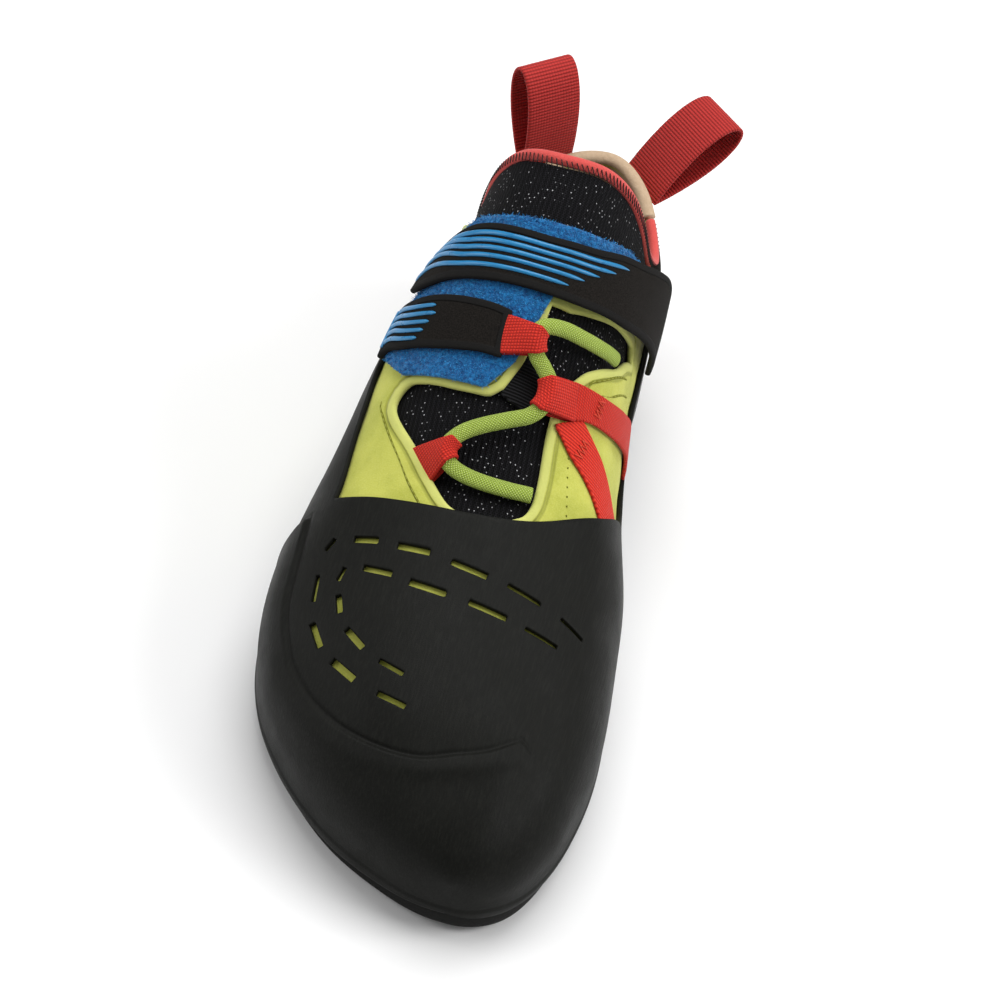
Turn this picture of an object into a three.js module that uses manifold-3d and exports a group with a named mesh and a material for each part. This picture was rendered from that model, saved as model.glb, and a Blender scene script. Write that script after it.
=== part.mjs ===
// A climbing shoe for the right foot: hook-and-loop straps, a short laced throat, a rubber toe cap and heel cup.
// Millimetres. +Y runs from toe to heel, +X is the inner (big toe) side, +Z is up.
// The origin lies on the floor under the ball of the foot.
import * as THREE from 'three';
import { mergeVertices } from 'three/addons/utils/BufferGeometryUtils.js';
import Module from 'manifold-3d';

const wasm = await Module();
wasm.setup();

// Driving dimensions of the last, which is the shape of the foot inside the shoe
const LAST_LENGTH = 238;
const BALL_WIDTH = 92;
const INSTEP_HEIGHT = 110;
const ARCH_RISE = 9.7;
const HEEL_SWELL = 7;
const HEEL_SWELL_REACH = 50;
const BALL_AT = 0.3;

// Thicknesses and gaps
const SOLE_THICKNESS = 4;
const UPPER_WALL = 2;
const TONGUE_WALL = 1.8;
const INSOLE_THICKNESS = 2.2;
const RAND_WALL = 1.5;
const TOE_WRAP_STEP = 0.8;
const PILE_WALL = 1.3;
const STRAP_WALL = 1.8;
const WEBBING_WALL = 1.1;
const ELASTIC_WALL = 0.9;
const BINDING_WALL = 3;
const HEEL_ROLL_WALL = 4.2;
const LACE_WIDTH = 4.6;
const LACE_HEIGHT = 3;
const CLEARANCE = 0.3;

// Sizes of single features
const BINDING_HEIGHT = 3.6;
const SOLE_INSET = 1;
const PULL_LOOP_WIDTH = 18;
const PULL_LOOP_LENGTH = 35;
const PULL_LOOP_DEPTH = 9;
const STRAP_STAND_OFF = 5.5;
const BINDING_INSIDE = 2.5;
const BINDING_SHIFT = 1.9;
const HEEL_ROLL_INSIDE = 1.4;

// Distances outward from the last, from the tongue to the straps
const TONGUE_OUT = -CLEARANCE;
const TONGUE_IN = TONGUE_OUT - TONGUE_WALL;
const RAND_IN = UPPER_WALL + CLEARANCE;
const RAND_OUT = RAND_IN + RAND_WALL;
const PILE_OUT = RAND_IN + PILE_WALL;
const STRAP_IN = PILE_OUT + CLEARANCE;
const STRAP_OUT = STRAP_IN + STRAP_WALL;
const WEBBING_IN = RAND_IN;
const LAST_FLOOR = SOLE_THICKNESS + CLEARANCE + UPPER_WALL;

// Sections of the last, toe to heel. Outer and inner are shares of BALL_WIDTH to either side of the axis,
// rise is a share of ARCH_RISE over the flat sole, waist and crest are shares of INSTEP_HEIGHT, and the last
// two columns say how square the section is above and below its waist.
const LAST_COLUMNS = ['at', 'outer', 'inner', 'rise', 'waist', 'crest', 'squareTop', 'squareBottom'];
const LAST_ROWS = [
  [0, -0.223, 0.223, 0.28, 0.145, 0.2, 2, 5],
  [0.02, -0.022, 0.353, 0.175, 0.15, 0.255, 2.1, 8],
  [0.06, 0.163, 0.418, 0.07, 0.155, 0.309, 2.2, 12],
  [0.12, 0.326, 0.462, 0, 0.164, 0.373, 2.3, 14],
  [0.2, 0.462, 0.484, -0.04, 0.173, 0.432, 2.3, 14],
  [0.33, 0.534, 0.459, -0.05, 0.19, 0.524, 2.2, 14],
  [0.4, 0.522, 0.435, 0.13, 0.218, 0.582, 2.1, 10],
  [0.5, 0.495, 0.364, 0.69, 0.264, 0.714, 2, 6],
  [0.6, 0.462, 0.321, 1, 0.3, 0.873, 2, 4.5],
  [0.7, 0.397, 0.288, 0.74, 0.3, 1.005, 2, 4.5],
  [0.8, 0.353, 0.277, 0.12, 0.273, 1.127, 2.2, 5],
  [0.88, 0.3, 0.255, 0, 0.259, 1.186, 2.35, 6],
  [0.94, 0.225, 0.19, 0, 0.255, 1.223, 2.45, 6],
  [0.98, 0.125, 0.11, 0.23, 0.255, 1.236, 2.5, 6],
  [1, -0.011, 0.011, 0.7, 0.255, 1.236, 2.5, 6],
];

// Every layer has the same stations along the foot and the same turns around it
const STATIONS = 25;
const SOLE_TURNS = [-84, -70, -50, -26, 0, 26, 50, 70, 84];
const TOP_SPOKES = 13;
const SPOKE_TURNS = [...SOLE_TURNS];
for (let spoke = 0; spoke <= TOP_SPOKES; spoke += 1) SPOKE_TURNS.push(90 + 180 * spoke / TOP_SPOKES);
const TIP_SHARE = 0.012;
const INNER_TIP_SHARE = 0.035;
const NORMAL_STEP = 0.001;
const NORMAL_TIP = 0.01;
const FAR = 300;
const AHEAD_OF_TOE = -0.4;
const BEHIND_HEEL = 1.4;
const UNDER_SOLE = -1;
const OVER_COLLAR = 1.6;

const radians = THREE.MathUtils.degToRad;
const lengthToShare = (at) => Math.acos(1 - 2 * at) / Math.PI;
const shareToLength = (share) => (1 - Math.cos(Math.PI * share)) / 2;
const alongFoot = (at) => (at - BALL_AT) * LAST_LENGTH;

// A smooth curve through the rows of a table column
const knots = LAST_ROWS.map((row) => lengthToShare(row[0]));
function columnAt(share, column) {
  const value = (row) => LAST_ROWS[row][column];
  const slope = (row) => (value(row + 1) - value(row)) / (knots[row + 1] - knots[row]);
  const last = LAST_ROWS.length - 1;
  const tangent = (row) => {
    if (row === 0) return slope(0);
    if (row === last) return slope(last - 1);
    const before = knots[row] - knots[row - 1];
    const after = knots[row + 1] - knots[row];
    return (slope(row - 1) * after + slope(row) * before) / (before + after);
  };
  let row = 0;
  while (row < last - 1 && share > knots[row + 1]) row += 1;
  const step = knots[row + 1] - knots[row];
  const u = (share - knots[row]) / step;
  const ease = u * u * (3 - 2 * u);
  const leave = step * u * (1 - u) * (1 - u);
  const arrive = step * u * u * (u - 1);
  return value(row) * (1 - ease) + value(row + 1) * ease + tangent(row) * leave + tangent(row + 1) * arrive;
}

// How far the back of the heel stands out at a height
function swollen(section, height) {
  const drop = (height - section.waist) / HEEL_SWELL_REACH;
  return section.swell * Math.max(-1, 1 - drop * drop);
}

function sectionAt(share) {
  const section = {};
  LAST_COLUMNS.forEach((name, column) => {
    section[name] = columnAt(share, column);
  });
  section.at = shareToLength(share);
  section.centre = (section.inner - section.outer) * BALL_WIDTH / 2;
  section.half = (section.inner + section.outer) * BALL_WIDTH / 2;
  section.floor = LAST_FLOOR + Math.max(0, section.rise) * ARCH_RISE;
  section.waist *= INSTEP_HEIGHT;
  section.crest *= INSTEP_HEIGHT;
  section.swell = HEEL_SWELL * THREE.MathUtils.smoothstep(section.at, 0.78, 1);
  return section;
}

// A point of the last. The turn is measured from the middle of the sole: 90 degrees is the inner side,
// 180 the ridge and 270 the outer side.
const signedPower = (value, power) => Math.sign(value) * Math.abs(value) ** power;
function lastPoint(share, turn) {
  const section = sectionAt(share);
  const above = Math.cos(turn) < 0;
  const power = 2 / (above ? section.squareTop : section.squareBottom);
  const height = above ? section.crest - section.waist : section.waist - section.floor;
  const x = section.centre + section.half * signedPower(Math.sin(turn), power);
  const z = section.waist - height * signedPower(Math.cos(turn), power);
  return new THREE.Vector3(x, alongFoot(section.at) + swollen(section, z), z);
}

function outward(share, turn) {
  const safe = THREE.MathUtils.clamp(share, NORMAL_TIP, 1 - NORMAL_TIP);
  const along = lastPoint(safe + NORMAL_STEP, turn).sub(lastPoint(safe - NORMAL_STEP, turn));
  const around = lastPoint(safe, turn + NORMAL_STEP).sub(lastPoint(safe, turn - NORMAL_STEP));
  return along.cross(around).normalize();
}

const layerPoint = (share, turn, out) => lastPoint(share, turn).addScaledVector(outward(share, turn), out);
const footPoint = (at, degrees, out) => layerPoint(lengthToShare(at), radians(degrees), out);

// Conversions between three.js geometry and manifold solids
function toSolid(geometry) {
  const plain = new THREE.BufferGeometry();
  plain.setAttribute('position', geometry.getAttribute('position').clone());
  plain.setIndex(geometry.getIndex());
  const merged = mergeVertices(plain, 1e-4);
  return new wasm.Manifold(new wasm.Mesh({
    numProp: 3,
    vertProperties: new Float32Array(merged.getAttribute('position').array),
    triVerts: new Uint32Array(merged.getIndex().array),
  }));
}

function toGeometry(solid) {
  const mesh = solid.getMesh();
  const geometry = new THREE.BufferGeometry();
  geometry.setAttribute('position', new THREE.Float32BufferAttribute(mesh.vertProperties, 3));
  geometry.setIndex(Array.from(mesh.triVerts));
  geometry.computeVertexNormals();
  return geometry;
}

function fromFaces(points, faces) {
  const geometry = new THREE.BufferGeometry();
  geometry.setAttribute('position', new THREE.Float32BufferAttribute(points.flatMap((p) => p.toArray()), 3));
  geometry.setIndex(faces.flat());
  const solid = toSolid(geometry);
  if (solid.volume() > 0) return solid;
  geometry.setIndex(faces.flatMap(([a, b, c]) => [a, c, b]));
  return toSolid(geometry);
}

// Faces that close a ring from side to side, rung by rung, starting at its lowest point
function ladder(first, count, lowest) {
  const faces = [];
  for (let rung = 0; rung < count / 2; rung += 1) {
    const left = first + (lowest - rung + count) % count;
    const right = first + (lowest + rung) % count;
    const nextLeft = first + (lowest - rung - 1 + count) % count;
    const nextRight = first + (lowest + rung + 1) % count;
    if (left !== right) faces.push([left, right, nextRight]);
    if (nextLeft !== nextRight) faces.push([left, nextRight, nextLeft]);
  }
  return faces;
}

// Faces that close a ring around its middle point
function fan(points, first, count) {
  const middle = new THREE.Vector3();
  points.slice(first, first + count).forEach((point) => middle.add(point));
  points.push(middle.divideScalar(count));
  const faces = [];
  for (let k = 0; k < count; k += 1) faces.push([points.length - 1, first + k, first + (k + 1) % count]);
  return faces;
}

// A solid skinned over rings of points. Its ends are ladders where the ring's lowest point is given.
function skin(rings, lowest = -1) {
  const count = rings[0].length;
  const points = rings.flat();
  const faces = [];
  for (let ring = 0; ring + 1 < rings.length; ring += 1) {
    for (let k = 0; k < count; k += 1) {
      const next = (k + 1) % count;
      const a = ring * count + k;
      const b = ring * count + next;
      faces.push([a, a + count, b], [b, a + count, b + count]);
    }
  }
  const close = (first) => (lowest < 0 ? fan(points, first, count) : ladder(first, count, lowest));
  faces.push(...close(0));
  faces.push(...close((rings.length - 1) * count).map(([a, b, c]) => [a, c, b]));
  return fromFaces(points, faces);
}

// The whole last, grown outward by a distance that may change along the foot and around it
function body(out) {
  const distance = typeof out === 'function' ? out : () => out;
  const tip = distance(0.5, Math.PI) < 0 ? INNER_TIP_SHARE : TIP_SHARE;
  const rings = [];
  for (let station = 0; station <= STATIONS; station += 1) {
    const share = THREE.MathUtils.lerp(tip, 1 - tip, station / STATIONS);
    rings.push(SPOKE_TURNS.map((degrees) => {
      const turn = radians(degrees);
      return layerPoint(share, turn, distance(share, turn));
    }));
  }
  return skin(rings, SPOKE_TURNS.indexOf(0));
}

const shell = (inner, outer) => body(outer).subtract(body(inner));

// Prisms across the foot from an outline of lengths along it and heights, and down through it from a plan
function sidePrism(outline, from = -FAR, to = FAR) {
  const shape = new THREE.Shape(outline.map(([at, up]) => new THREE.Vector2(alongFoot(at), up * INSTEP_HEIGHT)));
  const geometry = new THREE.ExtrudeGeometry(shape, { depth: to - from, bevelEnabled: false });
  geometry.translate(0, 0, from);
  geometry.applyMatrix4(new THREE.Matrix4().makeBasis(
    new THREE.Vector3(0, 1, 0),
    new THREE.Vector3(0, 0, 1),
    new THREE.Vector3(1, 0, 0),
  ));
  return toSolid(geometry);
}

function planPrism(outline) {
  const shape = new THREE.Shape(outline.map(([across, at]) => new THREE.Vector2(across * BALL_WIDTH, alongFoot(at))));
  const geometry = new THREE.ExtrudeGeometry(shape, { depth: 2 * FAR, bevelEnabled: false });
  geometry.translate(0, 0, -FAR);
  return toSolid(geometry);
}

// A smooth line through a few points, given as pairs
function smooth(points, steps) {
  const curve = new THREE.SplineCurve(points.map(([a, b]) => new THREE.Vector2(a, b)));
  return curve.getPoints(steps).map((point) => point.toArray());
}

// A cutter that stands on the last along a closed outline of lengths and turns in degrees
const CUTTER_STEP_AT = 0.05;
const CUTTER_STEP_TURN = 12;
const CUTTER_LOW = -4 * UPPER_WALL;
const CUTTER_HIGH = 8 * UPPER_WALL;
function cutter(outline) {
  const dense = [];
  outline.forEach(([at, turn], k) => {
    const [nextAt, nextTurn] = outline[(k + 1) % outline.length];
    const reach = Math.max(Math.abs(nextAt - at) / CUTTER_STEP_AT, Math.abs(nextTurn - turn) / CUTTER_STEP_TURN);
    const pieces = Math.max(1, Math.ceil(reach));
    for (let piece = 0; piece < pieces; piece += 1) {
      const u = piece / pieces;
      dense.push([THREE.MathUtils.lerp(at, nextAt, u), THREE.MathUtils.lerp(turn, nextTurn, u)]);
    }
  });
  const flat = dense.map(([at, turn]) => new THREE.Vector2(at * LAST_LENGTH, turn));
  const lids = THREE.ShapeUtils.triangulateShape(flat, []);
  const count = dense.length;
  const points = [
    ...dense.map(([at, turn]) => footPoint(at, turn, CUTTER_LOW)),
    ...dense.map(([at, turn]) => footPoint(at, turn, CUTTER_HIGH)),
  ];
  const faces = [];
  lids.forEach(([a, b, c]) => faces.push([a, c, b], [a + count, b + count, c + count]));
  const clockwise = THREE.ShapeUtils.isClockWise(flat);
  for (let k = 0; k < count; k += 1) {
    const next = (k + 1) % count;
    const walls = [[k, next, k + count], [next, next + count, k + count]];
    walls.forEach(([a, b, c]) => faces.push(clockwise ? [a, c, b] : [a, b, c]));
  }
  return fromFaces(points, faces);
}

// A slab that follows the bottom of the last, grown or shrunk in plan, between two heights over the last's floor
const FEATHER_EDGE = 0.97;
const SLAB_LEAST_WIDTH = 5;
function slab(grow, low, high) {
  const edge = (share, side) => {
    const section = sectionAt(share);
    const x = section.centre + side * section.half * FEATHER_EDGE;
    return new THREE.Vector2(x, alongFoot(section.at) + section.swell);
  };
  const grown = (share, side) => {
    const step = edge(share + NORMAL_STEP, side).sub(edge(share - NORMAL_STEP, side)).normalize();
    const outwards = new THREE.Vector2(side * step.y, -side * step.x);
    return edge(share, side).addScaledVector(outwards, grow);
  };
  const rings = [];
  for (let station = 0; station <= STATIONS; station += 1) {
    const share = THREE.MathUtils.lerp(TIP_SHARE, 1 - TIP_SHARE, station / STATIONS);
    const left = grown(share, -1);
    const right = grown(share, 1);
    if (right.x - left.x > SLAB_LEAST_WIDTH) {
      const base = sectionAt(share).floor;
      const bottom = Math.max(0, base + low);
      const top = base + high;
      rings.push([
        new THREE.Vector3(left.x, left.y, bottom),
        new THREE.Vector3(right.x, right.y, bottom),
        new THREE.Vector3(right.x, right.y, top),
        new THREE.Vector3(left.x, left.y, top),
      ]);
    }
  }
  return skin(rings);
}

// Collar line seen from the side, from the peak over the instep down to its low point and up to the heel
const COLLAR_LINE = smooth([
  [0.69, 1.12], [0.735, 1.085], [0.765, 1.03], [0.79, 0.93], [0.808, 0.82], [0.828, 0.7], [0.86, 0.62],
  [0.895, 0.6], [0.935, 0.63], [0.975, 0.675], [1.03, 0.71],
], 16);
const COLLAR_ROOF = [[1.1, 0.74], [1.1, OVER_COLLAR], [0.6, OVER_COLLAR], [0.6, 1.16]];
const SIDE_SPLIT = 0.848;
const BINDING_FRONT = 0.62;
const ROLL_SPLIT = 0.93;

function lowered(line, distance) {
  return line.map(([at, up], k) => {
    const [beforeAt, beforeUp] = line[Math.max(0, k - 1)];
    const [afterAt, afterUp] = line[Math.min(line.length - 1, k + 1)];
    const run = new THREE.Vector2((afterAt - beforeAt) * LAST_LENGTH, (afterUp - beforeUp) * INSTEP_HEIGHT).normalize();
    return [at + run.y * distance / LAST_LENGTH, up - run.x * distance / INSTEP_HEIGHT];
  });
}

// Everything under the last's floor, lowered by a distance
function belowFloor(distance) {
  const line = [];
  for (let station = 0; station <= STATIONS; station += 1) {
    const section = sectionAt(station / STATIONS);
    const at = section.at + swollen(section, section.floor) / LAST_LENGTH;
    line.push([at, (section.floor - distance) / INSTEP_HEIGHT]);
  }
  const [front, rear] = [line[0], line[STATIONS]];
  return sidePrism([
    [AHEAD_OF_TOE, front[1]], ...line, [BEHIND_HEEL, rear[1]], [BEHIND_HEEL, UNDER_SOLE], [AHEAD_OF_TOE, UNDER_SOLE],
  ]);
}

const aboveCollar = (distance) => sidePrism([...lowered(COLLAR_LINE, distance), ...COLLAR_ROOF]);
const collarBand = (from, to) => aboveCollar(to).subtract(aboveCollar(from));
const between = (from, to) => sidePrism([
  [from, UNDER_SOLE], [to, UNDER_SOLE], [to, OVER_COLLAR], [from, OVER_COLLAR],
]);
const behind = (at) => between(at, BEHIND_HEEL);
const ahead = (at) => between(AHEAD_OF_TOE, at);
const GAP_ALONG = CLEARANCE / LAST_LENGTH;

// Edges of the laced throat, front to rear: the outer panel with the flap, then the inner panel
const THROAT_OUTER = smooth([
  [0.36, 178], [0.367, 185], [0.397, 194], [0.43, 203], [0.467, 215], [0.488, 219], [0.502, 216],
  [0.5, 209], [0.49, 194], [0.487, 181],
], 15);
const THROAT_FLAP = [[0.498, 176], [0.526, 171], [0.572, 166], [0.592, 165]];
const THROAT_ARM = smooth([[0.598, 156], [0.625, 141], [0.668, 124], [0.705, 112]], 6);
const THROAT_INNER = smooth([
  [0.7, 109], [0.662, 117], [0.62, 125], [0.583, 137], [0.558, 145], [0.52, 153], [0.48, 156],
  [0.42, 158], [0.385, 161], [0.368, 168],
], 11);
// The top edge of the suede, from the ridge down to where it meets the collar
const SUEDE_TOP = [
  [0.53, 1.3], [0.628, 1.03], [0.647, 0.982], [0.673, 0.93], [0.712, 0.85], [0.75, 0.77], [0.795, 0.69], [0.848, 0.6],
];

function makeOutsole() {
  return slab(RAND_OUT - SOLE_INSET, -UPPER_WALL - CLEARANCE - SOLE_THICKNESS, -UPPER_WALL - CLEARANCE);
}

// The insole lies on the bottom of the last, thinner where its edges climb the sides
const INSOLE_TURNS = [-50, -26, 0, 26, 50];
const INSOLE_EDGE = 0.4;

function makeInsole() {
  const rings = [];
  for (let station = 1; station < STATIONS; station += 1) {
    const share = THREE.MathUtils.lerp(TIP_SHARE, 1 - TIP_SHARE, station / STATIONS);
    const under = INSOLE_TURNS.map((turn) => layerPoint(share, radians(turn), -CLEARANCE));
    const over = under.map((point, k) => {
      const edge = k === 0 || k === under.length - 1;
      const thickness = INSOLE_THICKNESS * (edge ? INSOLE_EDGE : 1);
      return point.clone().add(new THREE.Vector3(0, 0, thickness));
    });
    rings.push([...under, ...over.reverse()]);
  }
  return skin(rings);
}

// The upper is open underneath, inside the margin that is lasted under the foot
const MARGIN_TURNS = [-26, 0, 26];
function underOpening() {
  const rings = [];
  for (let station = 1; station < STATIONS; station += 1) {
    const share = THREE.MathUtils.lerp(TIP_SHARE, 1 - TIP_SHARE, station / STATIONS);
    const over = MARGIN_TURNS.map((turn) => layerPoint(share, radians(turn), -UPPER_WALL));
    const under = MARGIN_TURNS.map((turn) => layerPoint(share, radians(turn), 3 * UPPER_WALL));
    rings.push([...over, ...under.reverse()]);
  }
  return skin(rings);
}

function makeUpper() {
  const throat = cutter([...THROAT_OUTER, ...THROAT_FLAP, ...THROAT_ARM, ...THROAT_INNER]);
  const suedeRoof = sidePrism([...SUEDE_TOP, [SIDE_SPLIT, OVER_COLLAR], [0.53, OVER_COLLAR]]);
  return shell(0, UPPER_WALL)
    .subtract(underOpening())
    .subtract(suedeRoof)
    .subtract(aboveCollar(BINDING_HEIGHT + CLEARANCE))
    .subtract(throat);
}

const TONGUE_SIDE = [
  [0.335, 0.3], [0.4, 0.44], [0.5, 0.46], [0.6, 0.47], [0.7, 0.49], [0.8, 0.51], [SIDE_SPLIT, 0.52],
  [SIDE_SPLIT, OVER_COLLAR], [0.335, OVER_COLLAR],
];

function makeTongue() {
  return shell(TONGUE_IN, TONGUE_OUT)
    .intersect(sidePrism(TONGUE_SIDE))
    .subtract(aboveCollar(BINDING_HEIGHT + CLEARANCE));
}

// The binding sits over the tongue in front and over the thicker wall of the suede behind
function makeBinding() {
  const inner = (share) => BINDING_SHIFT * THREE.MathUtils.smoothstep(shareToLength(share), 0.8, 0.87) - BINDING_INSIDE;
  return shell(inner, (share) => inner(share) + BINDING_WALL)
    .intersect(collarBand(0, BINDING_HEIGHT))
    .intersect(between(BINDING_FRONT, ROLL_SPLIT));
}

function makeHeelRoll() {
  return shell(-HEEL_ROLL_INSIDE, HEEL_ROLL_WALL - HEEL_ROLL_INSIDE)
    .intersect(collarBand(0, BINDING_HEIGHT))
    .intersect(behind(ROLL_SPLIT + GAP_ALONG));
}

// Rubber rand. The cap's rear edge is drawn in plan as shares of BALL_WIDTH and of the length; the side
// bands are drawn from the side. A window on the outer side leaves the sling band above the lower rand.
const CAP_EDGE = smooth([
  [-0.6, 0.4], [-0.43, 0.371], [-0.3, 0.36], [-0.17, 0.355], [-0.02, 0.356], [0.12, 0.367], [0.23, 0.392],
  [0.34, 0.437], [0.385, 0.48],
], 12);
const CAP_PLAN = [...CAP_EDGE, [0.8, 0.5], [0.8, -0.2], [-0.8, -0.2], [-0.8, 0.4]];
const SLING_TOP = smooth([
  [0.34, 0.44], [0.38, 0.47], [0.45, 0.505], [0.53, 0.545], [0.6, 0.57], [0.72, 0.575], [0.85, 0.545],
  [0.94, 0.545], [1.03, 0.575],
], 10);
const INNER_TOP = smooth([
  [0.44, 0.45], [0.475, 0.4], [0.53, 0.335], [0.6, 0.3], [0.7, 0.315], [0.78, 0.38], [0.86, 0.48],
  [0.94, 0.545], [1.03, 0.575],
], 10);
const SLING_WINDOW = smooth([
  [0.405, 0.33], [0.45, 0.405], [0.51, 0.452], [0.57, 0.475], [0.65, 0.46], [0.73, 0.42], [0.79, 0.345],
  [0.74, 0.27], [0.65, 0.25], [0.55, 0.245], [0.46, 0.25], [0.405, 0.28], [0.395, 0.305], [0.405, 0.33],
], 20);
const RAND_SPLIT = 0.58;
const bandBelow = (line, from, to) => sidePrism([...line, [1.2, 0.58], [1.2, -0.3], [line[0][0], -0.3]], from, to);

// The wrap around the toe is thicker below its ridge line, which is drawn in plan
const TOE_RIDGE = smooth([
  [-0.5, 0.36], [-0.487, 0.31], [-0.467, 0.237], [-0.413, 0.182], [-0.37, 0.156], [-0.3, 0.126],
  [-0.196, 0.098], [-0.076, 0.081], [0.043, 0.077], [0.15, 0.09], [0.23, 0.104], [0.305, 0.128],
], 15);
const WRAP_FADE_FROM = 0.26;
const WRAP_FADE_TO = 0.37;

// Slots through the toe cap, dash by dash: length and turn of each end, then the width
const CAP_SLOTS = [
  [0.3, 223, 0.313, 220, 1.4], [0.31, 212, 0.309, 203, 1.9], [0.305, 196, 0.304, 186, 1.9],
  [0.299, 180, 0.294, 170, 1.7], [0.293, 163, 0.288, 151, 1.1], [0.286, 142, 0.28, 131, 0.9],
  [0.269, 224, 0.238, 225, 1.4], [0.212, 225, 0.185, 222, 1.9], [0.169, 217, 0.15, 209, 1.9],
  [0.138, 200, 0.129, 190, 1.4],
  [0.26, 215, 0.275, 213, 1.3], [0.275, 206, 0.271, 196, 1.7], [0.265, 190, 0.261, 180, 1.9],
  [0.259, 174, 0.255, 162, 1.6], [0.253, 155, 0.251, 142, 1], [0.242, 214, 0.222, 213, 1.7],
  [0.203, 210, 0.184, 204, 1.7], [0.172, 198, 0.162, 190, 1.2],
];

function slotCutter([fromAt, fromTurn, toAt, toTurn, width]) {
  const from = footPoint(fromAt, fromTurn, RAND_OUT);
  const to = footPoint(toAt, toTurn, RAND_OUT);
  const up = outward(lengthToShare((fromAt + toAt) / 2), radians((fromTurn + toTurn) / 2));
  const run = to.clone().sub(from);
  const geometry = new THREE.BoxGeometry(run.length(), width, 4 * RAND_WALL);
  const across = up.clone().cross(run).normalize();
  const along = across.clone().cross(up);
  geometry.applyMatrix4(new THREE.Matrix4().makeBasis(along, across, up));
  const middle = from.add(to).multiplyScalar(0.5);
  geometry.translate(middle.x, middle.y, middle.z);
  return toSolid(geometry);
}

function makeRand() {
  const fade = (share, turn) => {
    const across = lastPoint(share, turn).x / BALL_WIDTH;
    return 1 - THREE.MathUtils.smoothstep(across, WRAP_FADE_FROM, WRAP_FADE_TO);
  };
  const wrapOuter = body((share, turn) => RAND_OUT + TOE_WRAP_STEP * fade(share, turn));
  const wrapPlan = planPrism([...TOE_RIDGE, [0.8, 0.02], [0.8, -0.2], [-0.8, -0.2], [-0.8, 0.36]]);
  const wrap = wrapOuter.subtract(body(RAND_IN)).intersect(wrapPlan);
  const cap = planPrism(CAP_PLAN);
  const outerBand = bandBelow(SLING_TOP, -FAR, 0).subtract(sidePrism(SLING_WINDOW, -FAR, 0));
  const innerBand = bandBelow(INNER_TOP, 0, FAR);
  const whole = shell(RAND_IN, RAND_OUT).intersect(cap.add(outerBand).add(innerBand)).add(wrap);
  return whole.subtract(belowFloor(UPPER_WALL));
}

const randRegion = () => planPrism(CAP_PLAN).add(bandBelow(INNER_TOP, 0, FAR)).translate([0, CLEARANCE, CLEARANCE]);

function makeToeRand(rand) {
  return CAP_SLOTS.reduce((solid, slot) => solid.subtract(slotCutter(slot)), rand.intersect(ahead(RAND_SPLIT)));
}

function makeHeelRand(rand) {
  return rand.intersect(behind(RAND_SPLIT + GAP_ALONG));
}

// The blue pile patch lies on the flap, with an arm across to the inner side
const PATCH_OUTLINE = [
  [0.6, 237], [0.558, 235], [0.53, 225], ...smooth([[0.514, 218], [0.506, 208], [0.498, 195], [0.494, 183]], 6),
  [0.526, 174], [0.568, 169.5], ...smooth([[0.6, 166], [0.612, 155], [0.634, 142], [0.675, 126], [0.705, 118]], 8),
  ...smooth([[0.745, 126], [0.72, 136], [0.683, 153], [0.662, 171], [0.66, 187], [0.664, 200], [0.668, 212]], 12),
  [0.64, 234],
];
const makePatch = () => shell(RAND_IN, PILE_OUT).intersect(cutter(PATCH_OUTLINE));

// Straps. Each row gives a station across the strap's run: the turn, the front and rear edges as lengths,
// and how far the strap stands off the layer below as a share of STRAP_STAND_OFF.
const LOWER_STRAP = [
  [236, 0.562, 0.612, 0], [230, 0.558, 0.608, 0], [222, 0.547, 0.598, 0], [213, 0.539, 0.59, 0],
  [204, 0.533, 0.583, 0], [195, 0.53, 0.577, 0], [187, 0.529, 0.573, 0], [180, 0.527, 0.569, 0],
];
const UPPER_STRAP = [
  [232, 0.634, 0.652, 0.1], [226, 0.622, 0.664, 0.05], [218, 0.613, 0.667, 0], [208, 0.606, 0.664, 0],
  [197, 0.6, 0.657, 0], [186, 0.597, 0.651, 0], [175, 0.597, 0.65, 0], [165, 0.6, 0.656, 0.05],
  [155, 0.607, 0.668, 0.14], [145, 0.619, 0.69, 0.25], [135, 0.634, 0.716, 0.4], [126, 0.656, 0.748, 0.52],
  [117, 0.683, 0.784, 0.55], [110, 0.708, 0.81, 0.48], [103, 0.738, 0.836, 0.3], [97, 0.762, 0.855, 0.08],
];
const STRAP_CROSS_STEPS = 3;
const STRAP_TRIM = 0.5;

function strap(rows, inner, outer) {
  const rings = rows.map(([turn, front, rear, lift]) => {
    const ring = [];
    const place = (step, out) => {
      const at = THREE.MathUtils.lerp(front, rear, step / STRAP_CROSS_STEPS);
      return footPoint(at, turn, out + lift * STRAP_STAND_OFF);
    };
    for (let step = 0; step <= STRAP_CROSS_STEPS; step += 1) ring.push(place(step, inner));
    for (let step = STRAP_CROSS_STEPS; step >= 0; step -= 1) ring.push(place(step, outer));
    return ring;
  });
  return skin(rings);
}

function makeUpperStrap() {
  return strap(UPPER_STRAP, STRAP_IN - STRAP_TRIM / 2, STRAP_OUT).subtract(body(STRAP_IN));
}

function makeLowerStrap() {
  return strap(LOWER_STRAP, STRAP_IN - STRAP_TRIM, STRAP_OUT).subtract(body(STRAP_IN));
}

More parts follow.
